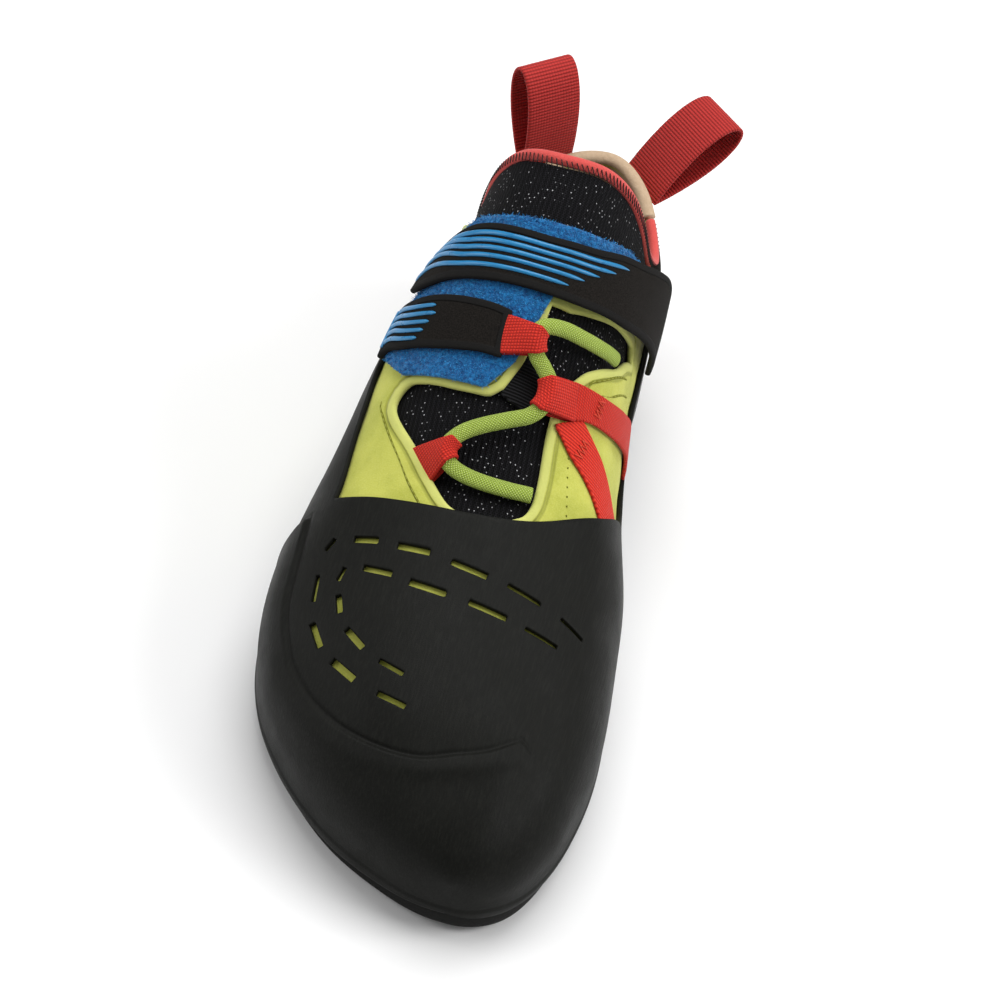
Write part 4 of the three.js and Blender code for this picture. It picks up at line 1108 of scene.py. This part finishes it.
def sole_edge(share, side):
    section = last_section(share)
    x = section["centre"] + side * section["half"] * SOLE_WIDTH_PART
    return np.stack([x, along_foot(section["at"]) + swollen(section, section["floor"] + SOLE_FOXING)], -1)


def sole_side(side, grow):
    safe = np.clip(sole_share, 1.5 * NORMAL_STEP, 1 - 1.5 * NORMAL_STEP)
    run = unit(sole_edge(safe + NORMAL_STEP, side) - sole_edge(safe - NORMAL_STEP, side))
    outwards = np.stack([side * run[:, 1], -side * run[:, 0]], -1)
    ends = (sole_share == 0) | (sole_share == 1)
    outwards[ends, 0] = 0
    return sole_edge(sole_share, side) + unit(outwards) * grow


sole_base = last_section(sole_share)["floor"] - LAST_FLOOR
sole_rows = []
SOLE_PROFILE = [
    (-1.6, 0.0), (-0.5, 0.15), (0.1, 0.7), (0.25, 2.0), (0.25, 3.6), (0.1, 5.0), (-0.4, 6.4), (-1.4, 7.6),
    (-2.5, 8.3), (-2.6, 6.2),
]
for grow, height in SOLE_PROFILE:
    left = sole_side(-1, SOLE_GROW + grow)
    right = sole_side(1, SOLE_GROW + grow)
    loop = np.concatenate([left, right[-2:0:-1]])
    level = np.concatenate([sole_base, sole_base[-2:0:-1]]) + height
    sole_rows.append(np.concatenate([loop, level[:, None]], 1))
sole_loop = len(sole_rows[0])
sole_points = np.concatenate(sole_rows)
sole_faces = [tuple(reversed(face)) for face in grid_faces(len(sole_rows), sole_loop, closed=True)]


def across_faces(first, flip):
    """Faces that close a loop from side to side, station by station."""
    faces = []
    for k in range(SOLE_STATIONS - 1):
        left_now = first + k
        left_next = first + k + 1
        right_now = first + (sole_loop - k) % sole_loop
        right_next = first + sole_loop - k - 1
        face = []
        for corner in (left_now, left_next, right_next, right_now):
            if corner not in face:
                face.append(corner)
        faces.append(tuple(reversed(face)) if flip else tuple(face))
    return faces


sole_faces += across_faces(0, True)
sole_faces += across_faces((len(sole_rows) - 1) * sole_loop, False)
sole_rubber, sole_tree, sole_shader = new_finish("sole_rubber", (0.012, 0.012, 0.011), 0.62, specular=0.09)
sole_grain = noise(sole_tree, place_map(sole_tree), 1.4, 4)
dress(sole_tree, sole_shader, sole_grain, (0.007, 0.007, 0.0065), (0.014, 0.014, 0.013), 0.15)
sole_piece = mesh_object("rubber_outsole", sole_points, sole_faces, slots=[sole_rubber])
fit_on(sole_piece, "sole_rubber", "outsole")


# ELASTIC BAND
# A short black elastic tape bridges the throat under the lace.
def outline_panel(name, outline, outside, inside, finishes, step=0.6, bulge=0.4, shape=None):
    """A panel with an outline of lengths and turns."""
    lengths = [at for at, _ in outline]
    turns = [turn for _, turn in outline]
    return panel(name, share_steps(min(lengths) - 0.012, max(lengths) + 0.012, step),
                 turn_steps(min(turns) - 4, max(turns) + 4, step),
                 lambda cloth: cloth.on_last(outline), outside, inside, finishes, bulge=bulge, shape=shape)


elastic, elastic_tree, elastic_shader = new_finish("elastic_tape", (0.01, 0.01, 0.011), 0.85, specular=0.1)
elastic_u, _ = layer_map(elastic_tree)
elastic_rib = span(elastic_tree, reckon(elastic_tree, "PINGPONG", elastic_u, 0.45), 0.1, 0.35)
# The ribs are painted lighter and the gaps between them darker: painted light and shade on the ribbing.
dress(elastic_tree, elastic_shader, elastic_rib, (0.003, 0.003, 0.003), (0.02, 0.02, 0.022), 0.3)
ELASTIC_OUTLINE = [
    (0.5, 180.5), (0.532, 171), (0.532, 163), (0.526, 155.5), (0.499, 158), (0.486, 164.5), (0.488, 171.6),
    (0.493, 176),
]
elastic_piece = outline_panel("throat_elastic", ELASTIC_OUTLINE, 1.2, 0.3, [elastic])
fit_on(elastic_piece, "elastic", "elastic_band")


# WEBBING
# Red woven tape is stitched down with zigzag tacks and folded into sleeves that hold the lace.
WEB_RED = (0.74, 0.036, 0.015)
# Painted shade in the gaps between the woven ribs.
WEB_GAP_SHADE = (0.38, 0.008, 0.005)


def woven_finish(name, light, dark, pitch, grid):
    """Tape woven in ribs across its length, with a crossing grid of a strength between 0 and 1. The gaps
    between the ribs take the dark colour as painted shade.
    """
    finish, tree, shader = new_finish(name, light, 0.7, sheen=0.03, specular=0.25)
    u, v = layer_map(tree)
    along = span(tree, reckon(tree, "PINGPONG", u, pitch), 0.0, pitch * 0.8, 0.2, 1.0)
    across = span(tree, reckon(tree, "PINGPONG", v, pitch), 0.0, pitch * 0.8, 1.0 - grid, 1.0)
    cells = reckon(tree, "MULTIPLY", along, across)
    dress(tree, shader, cells, dark, light, 0.3)
    return finish


webbing = woven_finish("red_webbing", WEB_RED, WEB_GAP_SHADE, 0.42, 0.85)
leg_webbing = woven_finish("red_leg_webbing", WEB_RED, WEB_GAP_SHADE, 0.48, 0.25)
WEB_TAPE = (
    [(0.501, 149.5)]
    + curve([(0.541, 150), (0.555, 137), (0.572, 126), (0.599, 114), (0.636, 102), (0.655, 92)], 24)
    + [(0.66, 82), (0.612, 82)]
    + curve([(0.6, 92), (0.587, 100), (0.559, 113), (0.536, 126), (0.517, 140), (0.505, 147)], 24)
)
WEB_LEG = (
    [(0.486, 156), (0.516, 142)]
    + curve([(0.516, 142), (0.508, 135), (0.5, 127), (0.486, 120), (0.464, 113.5), (0.44, 107)], 20)
    + curve([(0.415, 119), (0.436, 128), (0.45, 133), (0.461, 139), (0.47, 146), (0.484, 152)], 20)
)
LACE_WIDTH = 4.6
LACE_HEIGHT = 3.0
LACE_RUN = [
    (0.406, 160.3, 2.3), (0.401, 169, 2.4), (0.4, 178, 2.6), (0.404, 185, 3.6),
    (0.412, 189, 4.6), (0.424, 190.5, 4.8), (0.435, 189.5, 4.6), (0.447, 186, 4),
    (0.458, 180, 3.6), (0.469, 172.5, 3.8), (0.48, 165.5, 4.6),
    (0.494, 161.5, 5.2), (0.508, 160, 5.2), (0.522, 160.5, 5.2), (0.531, 163.5, 5.2), (0.538, 167, 5.8),
    (0.548, 169, 6.6), (0.559, 169, 6.8), (0.567, 166.5, 6.6), (0.574, 160, 5.6), (0.581, 151, 4.6),
    (0.592, 142, 3.6), (0.604, 135, 2.9), (0.614, 129.8, 2.6),
]


def rows_of_lace(first, last):
    """Points and normals of the lace's run between two places, counted in its rows."""
    rows = np.array(curve(LACE_RUN, (len(LACE_RUN) - 1) * 10))[round(first * 10):round(last * 10) + 1]
    return foot_frame(rows[:, 0], rows[:, 1], rows[:, 2])


def grid_wall(name, place, outside, inside, finishes, bulge, outward_hint, shape=None):
    """A wall over a grid of places, with rounded edges."""
    rows, columns = place.shape[:2]
    along = np.gradient(place, axis=0)
    across = np.gradient(place, axis=1)
    normal = unit(np.cross(along, across))
    if np.sum(normal * outward_hint) < 0:
        normal = -normal
    u = np.zeros((rows, columns))
    v = np.zeros((rows, columns))
    u[1:] = np.cumsum(np.linalg.norm(np.diff(place, axis=0), axis=-1), axis=0)
    v[:, 1:] = np.cumsum(np.linalg.norm(np.diff(place, axis=1), axis=-1), axis=1)
    triangles = grid_triangles(np.arange(rows * columns).reshape(rows, columns))
    base = place.reshape(-1, 3)
    flat = normal.reshape(-1, 3)
    corner = base[triangles]
    facing = np.cross(corner[:, 1] - corner[:, 0], corner[:, 2] - corner[:, 0])
    if np.sum(facing * flat[triangles[:, 0]]) < 0:
        triangles = triangles[:, ::-1]
    lay = np.stack([u, v], -1).reshape(-1, 2)
    outer = outside if shape is None else outside + shape(u, v).reshape(-1)
    return wall_object(name, base, flat, triangles, lay, outer, inside, finishes, bulge=bulge)


FOLD_STEPS = 14
LEG_STEPS = 10
LEG_GAP = 1.2
WEBBING_HALF = 0.45
FOLD_OUT = 0.55
LEG_ARCH = 0.5


def folded_tape(name, first, last, anchor_start, anchor_end, side):
    """Tape that comes up from its anchor line, folds round the lace and goes back beneath itself."""
    both = walk(np.concatenate(rows_of_lace(first, last), 1), 0.45)
    centre = both[:, :3]
    up = unit(both[:, 3:])
    run = unit(np.gradient(centre, axis=0))
    far = unit(np.cross(run, up)) * -side
    part = np.linspace(0, 1, len(centre))[:, None]
    anchors = [np.array(anchor_start) * (1 - p) + np.array(anchor_end) * p for p in part[:, 0]]
    top_anchor = np.array([foot_point(at, turn, out) for at, turn, out in anchors])
    low_anchor = np.array([foot_point(at, turn, out - LEG_GAP) for at, turn, out in anchors])
    turn = np.linspace(0, math.pi, FOLD_STEPS)
    fold = [centre + up * (LACE_HEIGHT / 2 + FOLD_OUT) * math.cos(t)
            + far * (LACE_WIDTH / 2 + FOLD_OUT) * math.sin(t) for t in turn]
    legs_up = [top_anchor + (fold[0] - top_anchor) * math.sin(s * math.pi / 2)
               + up * LEG_ARCH * math.sin(s * math.pi) for s in np.linspace(0, 1, LEG_STEPS)[:-1]]
    legs_down = [fold[-1] + (low_anchor - fold[-1]) * s for s in np.linspace(0, 1, LEG_STEPS)[1:]]
    grid = np.stack(legs_up + fold + legs_down, 1)
    hint = grid - (centre + low_anchor)[:, None] / 2
    return grid_wall(name, grid, WEBBING_HALF, -WEBBING_HALF, [webbing], 0.35, hint)


for web_name, web_outline, web_inside, web_outside, web_finish in (
        ("leg", WEB_LEG, 2.1, 3.1, leg_webbing), ("tape", WEB_TAPE, 2.6, 3.7, webbing)):
    web_piece = outline_panel("webbing_" + web_name, web_outline, web_outside, web_inside,
                              [web_finish], bulge=0.35)
    fit_on(web_piece, "webbing", "webbing_inner")
for fold_name, fold_first, fold_last, anchor_start, anchor_end, fold_side, fold_node in (
        ("inner", 10.7, 13.3, (0.505, 147, 3.4), (0.541, 148, 3.4), 1, "webbing_inner"),
        ("outer", 3.9, 6.2, (0.392, 193.5, 1.4), (0.427, 204, 1.4), -1, "webbing_loop_outer"),
        ("strap", 15.2, 17.4, (0.529, 182, 4.9), (0.566, 182, 4.9), -1, "webbing_loop_strap")):
    fold_piece = folded_tape("webbing_fold_" + fold_name, fold_first, fold_last,
                             anchor_start, anchor_end, fold_side)
    fit_on(fold_piece, "webbing", fold_node)


# Zigzag bar tacks through the tape and the leg
tack_thread = thread_finish("red_thread", (0.75, 0.08, 0.045))
TACKS = [
    ([(0.551, 135.5), (0.54, 135.8), (0.53, 136.8)], 3.85),
    ([(0.498, 139.5), (0.487, 141), (0.474, 142.8)], 3.25),
]


def tack_rings(line, pitch, reach, width):
    both = walk(line, pitch / 2)
    path = both[:, :3]
    up = unit(both[:, 3:6])
    side = unit(np.cross(np.gradient(path, axis=0), up))
    swing = np.where(np.arange(len(path)) % 2, reach, -reach)
    return tube_rings(path + side * swing[:, None], up, width, width, 6)


tacks = [tack_rings(line_on_foot(points, out + 0.1, 0.5), 1.5, 1.4, 0.48) for points, out in TACKS]
fit_on(cords("webbing_tacks", tacks, [tack_thread]), "webbing")


# LACE
# One lime braided cord runs from the inner edge through the three sleeves and back under the inner panel.
BRAID_PITCH = 0.42
LACE_STEP = 0.4
LACE_SIDES = 28
lace_cloth, lace_tree, lace_shader = new_finish(
    "lime_lace", (0.36, 0.45, 0.07), 0.85, sheen=0.05, specular=0.2)
lace_u, lace_v = layer_map(lace_tree)
strands = []
for operation in ("ADD", "SUBTRACT"):
    slant = reckon(lace_tree, "PINGPONG", reckon(lace_tree, operation, lace_u, lace_v), BRAID_PITCH)
    strands.append(span(lace_tree, slant, 0.0, 0.36))
braid = reckon(lace_tree, "MULTIPLY", *strands)
# Painted shade: the crevices between the braid's strands take the darker lime, the strands the lighter one.
dress(lace_tree, lace_shader, braid, (0.27, 0.38, 0.035), (0.63, 0.77, 0.22), 0.4)
lace_path = walk(np.concatenate(rows_of_lace(0, len(LACE_RUN) - 1), 1), LACE_STEP)
lace_rings = tube_rings(lace_path[:, :3], unit(lace_path[:, 3:]), LACE_WIDTH, LACE_HEIGHT, LACE_SIDES)
lace_around = np.linspace(0, (LACE_WIDTH + LACE_HEIGHT) * 1.55, LACE_SIDES)
lace_ahead = np.arange(len(lace_path)) * LACE_STEP
lace_lay = np.stack(np.broadcast_arrays(lace_ahead[:, None], lace_around[None, :]), -1)
lace_piece = cords("braided_lace", [lace_rings], [lace_cloth], [lace_lay.reshape(-1, 2)])
fit_on(lace_piece, "lace_cord", "lace")


# LOOP PATCH
# The blue pile that the straps press on to: a felt of tiny loops on a cloth backing.
PATCH_OUTLINE = (
    [(0.6, 237), (0.558, 235), (0.53, 225)]
    + curve([(0.514, 218), (0.506, 208), (0.498, 195), (0.494, 183)], 20)
    + [(0.526, 174), (0.568, 169.5)]
    + curve([(0.6, 166), (0.612, 155), (0.634, 142), (0.675, 126), (0.705, 118)], 20)
    + curve([(0.745, 126), (0.728, 136), (0.691, 153), (0.672, 171), (0.669, 187), (0.675, 201), (0.683, 209),
             (0.684, 218), (0.668, 228)], 30)
    + [(0.64, 236)]
)
pile, pile_tree, pile_shader = new_finish("blue_pile", (0.008, 0.13, 0.4), 0.95, sheen=0.25)
pile_clumps = noise(pile_tree, place_map(pile_tree), 0.8, 5, 0.7)
pile_colour = blend_colour(
    pile_tree, span(pile_tree, pile_clumps, 0.3, 0.7), (0.001, 0.06, 0.22), (0.01, 0.24, 0.58))
wire(pile_tree, pile_shader.inputs["Base Color"], pile_colour)
relief(pile_tree, pile_shader, pile_clumps, 1.0)
patch_piece = outline_panel("pile_patch", PATCH_OUTLINE, 3.6, RAND_IN, [pile], step=1.0)
fit_on(patch_piece, "loop_pile", "loop_patch")

# Loose loops of the pile, as short blades that lean every way
PILE_FIBRES = 26000
FIBRE_LENGTH = 1.3
FIBRE_WIDTH = 0.17
chance = np.random.default_rng(7)
patch_at = [at for at, _ in PATCH_OUTLINE]
patch_turn = [turn for _, turn in PATCH_OUTLINE]
fibre_at = chance.uniform(min(patch_at), max(patch_at), PILE_FIBRES * 2)
fibre_turn = chance.uniform(min(patch_turn), max(patch_turn), PILE_FIBRES * 2)
patch_drawn = [(at * LAST_LENGTH, turn * TURN_MM) for at, turn in PATCH_OUTLINE]
on_patch = signed_distance(patch_drawn, fibre_at * LAST_LENGTH, fibre_turn * TURN_MM) > 0.1
fibre_at = fibre_at[on_patch][:PILE_FIBRES]
fibre_turn = fibre_turn[on_patch][:PILE_FIBRES]
fibre_root = foot_point(fibre_at, fibre_turn, 3.45)
fibre_up = outward(length_to_share(fibre_at), np.radians(fibre_turn))
fibre_lean = unit(fibre_up * 0.55 + chance.normal(0, 0.5, fibre_up.shape))
fibre_side = unit(np.cross(fibre_lean, chance.normal(0, 1, fibre_up.shape))) * FIBRE_WIDTH / 2
fibre_long = FIBRE_LENGTH * chance.uniform(0.4, 1.0, len(fibre_at))[:, None]
fibre_droop = chance.normal(0, 0.25, fibre_up.shape)
fibre_middle = fibre_root + fibre_lean * fibre_long * 0.55
fibre_tip = fibre_root + fibre_lean * fibre_long * 0.9 + fibre_droop
fibre_points = np.stack([fibre_root - fibre_side, fibre_root + fibre_side, fibre_middle - fibre_side,
                         fibre_middle + fibre_side, fibre_tip], 1).reshape(-1, 3)
fibre_faces = []
for k in range(0, len(fibre_at) * 5, 5):
    fibre_faces += [(k, k + 1, k + 3, k + 2), (k + 2, k + 3, k + 4)]
fibre_shade, fibre_tree, fibre_shader = new_finish("pile_fibre", (0.02, 0.25, 0.6), 0.7, sheen=0.1)
fibre_spots = noise(fibre_tree, place_map(fibre_tree), 1.0, 5, 0.8)
# Pale cyan spots on the fibres: random tone of the pile, and painted highlights on its loops.
fibre_colour = blend_colour(
    fibre_tree, span(fibre_tree, fibre_spots, 0.38, 0.64), (0.001, 0.07, 0.27), (0.04, 0.42, 0.84))
wire(fibre_tree, fibre_shader.inputs["Base Color"], fibre_colour)
fit_on(mesh_object("pile_loops", fibre_points, fibre_faces, slots=[fibre_shade]), "loop_pile")


# STRAPS
# Two straps of black microfibre are pressed on to the pile, with moulded glossy blue ribs at their tips.
# The upper one bends over on the inner side and ends on the rand.
STRAP_STAND_OFF = 5.5
STRAP_IN = 3.9
STRAP_OUT = 5.7
LOWER_STRAP = [
    (236, 0.562, 0.612, 0), (230, 0.558, 0.608, 0), (222, 0.547, 0.598, 0), (213, 0.539, 0.59, 0),
    (204, 0.533, 0.583, 0), (195, 0.53, 0.577, 0), (187, 0.529, 0.573, 0), (180, 0.527, 0.569, 0),
]
UPPER_STRAP = [
    (232, 0.634, 0.652, 0.1), (226, 0.622, 0.664, 0.05), (218, 0.613, 0.667, 0), (208, 0.606, 0.664, 0),
    (197, 0.6, 0.657, 0), (186, 0.597, 0.651, 0), (175, 0.597, 0.65, 0), (165, 0.6, 0.656, 0.05),
    (155, 0.607, 0.668, 0.14), (145, 0.619, 0.69, 0.25), (135, 0.634, 0.716, 0.4), (126, 0.656, 0.748, 0.52),
    (117, 0.683, 0.784, 0.55), (110, 0.708, 0.81, 0.48), (103, 0.738, 0.836, 0.3), (97, 0.762, 0.855, 0.08),
]
STRAP_STEPS = 26
FOOT_AXIS = np.array([0, 40.0, 40.0])

microfibre, micro_tree, micro_shader = new_finish(
    "black_microfibre", (0.016, 0.013, 0.011), 0.9, specular=0.08)
micro_fine = noise(micro_tree, place_map(micro_tree), 2.6, 5, 0.75)
micro_rim, _ = layer_map(micro_tree, "edge")
micro_border = span(micro_tree, micro_rim, 1.3, 1.8, 1.0, 0.0)
micro_colour = blend_colour(
    micro_tree, span(micro_tree, micro_fine, 0.3, 0.75), (0.005, 0.0045, 0.004), (0.021, 0.018, 0.0155))
micro_edge = reckon(micro_tree, "MULTIPLY", micro_border, 0.7)
micro_colour = blend_colour(micro_tree, micro_edge, micro_colour, (0.012, 0.012, 0.012))
wire(micro_tree, micro_shader.inputs["Base Color"], micro_colour)
micro_height = reckon(micro_tree, "ADD", reckon(micro_tree, "MULTIPLY", micro_fine, 0.3), micro_border)
relief(micro_tree, micro_shader, micro_height, 0.5)


def strap_surface(rows, along_count, across_count):
    """Places on a strap's middle surface, row by row."""
    table = np.array(curve(rows, along_count - 1))
    part = np.linspace(0, 1, across_count)
    turn, front, rear, lift = (table[:, k][:, None] for k in range(4))
    at = front * (1 - part) + rear * part
    return foot_point(at, turn + 0 * at, lift * STRAP_STAND_OFF + 0 * at)


for strap_name, strap_outline, strap_count in (("lower", LOWER_STRAP, 80), ("upper", UPPER_STRAP, 160)):
    strap_place = strap_surface(strap_outline, strap_count, STRAP_STEPS)
    strap_piece = grid_wall("microfibre_strap_" + strap_name, strap_place, STRAP_OUT, STRAP_IN,
                            [microfibre], 0.6, strap_place - FOOT_AXIS)
    fit_on(strap_piece, "strap_microfibre", strap_name + "_strap")

# Moulded ribs, drawn as runs across a strap: the share of its width, then the turns at both ends
rib_blue, rib_tree, rib_shader = new_finish("rib_gloss", (0.008, 0.19, 0.42), 0.34, coat=0.1)
rib_cloud = noise(rib_tree, place_map(rib_tree), 0.4, 3)
rib_colour = blend_colour(rib_tree, rib_cloud, (0.004, 0.14, 0.34), (0.012, 0.24, 0.5))
wire(rib_tree, rib_shader.inputs["Base Color"], rib_colour)
wire(rib_tree, rib_shader.inputs["Roughness"], span(rib_tree, rib_cloud, 0.3, 0.7, 0.26, 0.4))
UPPER_RIBS = [
    (0.82, 142, 0.88, 217), (0.68, 147, 0.86, 221), (0.54, 153, 0.82, 225), (0.39, 158, 0.74, 228),
    (0.22, 163, 0.5, 231),
]
LOWER_RIBS = [
    (0.8, 209, 0.86, 231), (0.64, 208, 0.7, 232), (0.47, 210, 0.54, 232.5), (0.3, 211.5, 0.38, 233),
    (0.14, 213.5, 0.2, 233.5),
]
UPPER_RIB_BEND = 203
LOWER_RIB_BEND = 214
RIB_WIDTH = 1.7
RIB_TIP_WIDTH = 1.1
RIB_HEIGHT = 0.9
RIB_ROWS = 90
RIB_SIDES = 12
COMB_ROWS = 24
COMB_WIDTH = 1.9


def place_on_strap(rows, part, turns):
    """Places and normals on top of a strap at shares of its width and turns."""
    table = np.array(curve(rows, 200))
    order = np.argsort(table[:, 0])
    front, rear, lift = (np.interp(turns, table[order, 0], table[order, k]) for k in (1, 2, 3))
    at = front * (1 - part) + rear * part
    return foot_frame(at, turns, STRAP_OUT + lift * STRAP_STAND_OFF + 0.1)


def rib_rings(rows, bend_at, part_right, turn_right, part_left, turn_left):
    turns = np.linspace(turn_right, turn_left, RIB_ROWS)
    part = part_right + (part_left - part_right) * ease((turns - bend_at) / (turn_left - bend_at))
    place, normal = place_on_strap(rows, part, turns)
    number = np.arange(RIB_ROWS)
    taper = np.sqrt(np.clip(np.minimum(number / 6.0, (RIB_ROWS - 1 - number) / 3.0), 0.02, 1))
    width = RIB_TIP_WIDTH + (RIB_WIDTH - RIB_TIP_WIDTH) * number / RIB_ROWS
    return tube_rings(place, normal, width * taper, RIB_HEIGHT * taper, RIB_SIDES)


comb_part = np.linspace(0.12, 0.92, COMB_ROWS)
comb_turns = np.linspace(234.3, 232.3, COMB_ROWS)
comb_place, comb_normal = place_on_strap(LOWER_STRAP, comb_part, comb_turns)
comb_rings = [tube_rings(comb_place, comb_normal, COMB_WIDTH, RIB_HEIGHT, RIB_SIDES)]
fit_on(cords("ribs_upper", [rib_rings(UPPER_STRAP, UPPER_RIB_BEND, *rib) for rib in UPPER_RIBS], [rib_blue]),
       "strap_microfibre")
fit_on(cords("ribs_lower", [rib_rings(LOWER_STRAP, LOWER_RIB_BEND, *rib) for rib in LOWER_RIBS] + comb_rings,
             [rib_blue]), "strap_microfibre")


# PULL LOOPS
# Two loops of ribbed red tape are folded double and sewn to the back of the heel.
PULL_LOOP_WIDTH = 18.0
PULL_LOOP_LENGTH = 35.0
PULL_LOOP_DEPTH = 9.0
PULL_LOOP_SEAT = 4.2
PULL_LOOPS = [("outer", 0.966, 252.5, 0.232), ("inner", 0.98, 106.5, 0.805)]
PULL_LOOP_STEPS = 90
# The darker red is painted shade in the gaps of the pull tape's weave.
pull_tape = woven_finish("pull_tape", (0.5, 0.03, 0.025), (0.2, 0.007, 0.006), 0.5, 0.3)


def pull_loop(name, at, turn, lean):
    seat = foot_point(at, turn, PULL_LOOP_SEAT)
    upright = np.array([0, 0, 1.0])
    away = outward(np.array(length_to_share(at)), np.array(math.radians(turn)))
    away[2] = 0
    away = unit(away)
    width = np.cross(away, upright)
    axis = away * lean + upright * math.sqrt(1 - lean * lean)
    thick = np.cross(axis, width)
    angle = np.linspace(0.05, 2 * math.pi - 0.05, PULL_LOOP_STEPS)
    swing = np.sin(angle) * np.sin(angle / 2) * (PULL_LOOP_DEPTH + 1.1) * 0.65
    climb = PULL_LOOP_LENGTH * (1 - np.cos(angle)) / 2 - 0.5
    spine = seat + thick * swing[:, None] + axis * climb[:, None]
    across = np.linspace(-PULL_LOOP_WIDTH / 2, PULL_LOOP_WIDTH / 2, 14)
    place = spine[:, None] + width * across[None, :, None]
    centre = seat + axis * PULL_LOOP_LENGTH * 0.55
    return grid_wall("pull_tape_" + name, place, 0.55, -0.55, [pull_tape], 0.4, place - centre)


for pull_name, pull_at, pull_turn, pull_lean in PULL_LOOPS:
    fit_on(pull_loop(pull_name, pull_at, pull_turn, pull_lean), "pull_tape", "pull_loop_" + pull_name)


# FLOOR, LIGHT AND CAMERA
# The shoe stands on a pale floor under soft studio light, seen from above its toe as in the photograph.
FLOOR_REACH = 6
floor_mesh = bpy.data.meshes.new("studio_floor")
floor_corners = [(x * FLOOR_REACH, y * FLOOR_REACH, 0) for x, y in ((-1, -1), (1, -1), (1, 1), (-1, 1))]
floor_mesh.from_pydata(floor_corners, [], [(0, 1, 2, 3)])
floor = bpy.data.objects.new("studio_floor", floor_mesh)
bpy.context.scene.collection.objects.link(floor)
floor_white, _, _ = new_finish("floor_white", (0.9, 0.9, 0.9), 0.9)
floor_mesh.materials.append(floor_white)

studio = bpy.data.worlds.new("studio")
studio.use_nodes = True
studio.node_tree.nodes["Background"].inputs[0].default_value = (1, 1, 1, 1)
studio.node_tree.nodes["Background"].inputs[1].default_value = 0.3
bpy.context.scene.world = studio

SHOE_MIDDLE = Vector((0, 0.0476, 0.045))
for light_name, light_from, light_size, light_power in (
        ("overhead", (0.0, 0.35, 1.0), 0.8, 8.5),
        ("left_fill", (-0.9, -0.1, 0.55), 0.6, 3.4),
        ("right_key", (0.85, 0.05, 0.7), 0.5, 6.0)):
    light_data = bpy.data.lights.new(light_name, "AREA")
    light_data.size = light_size
    light_data.energy = light_power
    light = bpy.data.objects.new(light_name, light_data)
    light.location = light_from
    light.rotation_euler = (Vector(light_from) - SHOE_MIDDLE).to_track_quat("Z", "Y").to_euler()
    bpy.context.scene.collection.objects.link(light)

CAMERA_AZIMUTH = math.radians(7.6)
CAMERA_ELEVATION = math.radians(44.2)
CAMERA_ROLL = math.radians(9.4)
CAMERA_DISTANCE = 0.6366
CAMERA_LENS = 80.35
CAMERA_SENSOR = 36
camera_back = Vector((
    math.sin(CAMERA_AZIMUTH) * math.cos(CAMERA_ELEVATION),
    -math.cos(CAMERA_AZIMUTH) * math.cos(CAMERA_ELEVATION),
    math.sin(CAMERA_ELEVATION),
))
level_right = Vector((math.cos(CAMERA_AZIMUTH), math.sin(CAMERA_AZIMUTH), 0))
level_up = camera_back.cross(level_right)
rolled_right = level_right * math.cos(CAMERA_ROLL) + level_up * math.sin(CAMERA_ROLL)
rolled_up = level_up * math.cos(CAMERA_ROLL) - level_right * math.sin(CAMERA_ROLL)
camera_place = SHOE_MIDDLE + camera_back * CAMERA_DISTANCE
camera_aim = SHOE_MIDDLE - rolled_right * 0.0002 - rolled_up * 0.00608
camera_z = (camera_place - camera_aim).normalized()
camera_x = (rolled_right - camera_z * rolled_right.dot(camera_z)).normalized()
camera_y = camera_z.cross(camera_x)
camera_data = bpy.data.cameras.new("studio_camera")
camera_data.lens = CAMERA_LENS
camera_data.sensor_width = CAMERA_SENSOR
camera_data.clip_start = 0.01
camera = bpy.data.objects.new("studio_camera", camera_data)
camera_turn = Matrix((camera_x, camera_y, camera_z)).transposed().to_4x4()
camera.matrix_world = Matrix.Translation(camera_place) @ camera_turn
bpy.context.scene.collection.objects.link(camera)
bpy.context.scene.camera = camera
bpy.context.scene.view_settings.view_transform = "Standard"
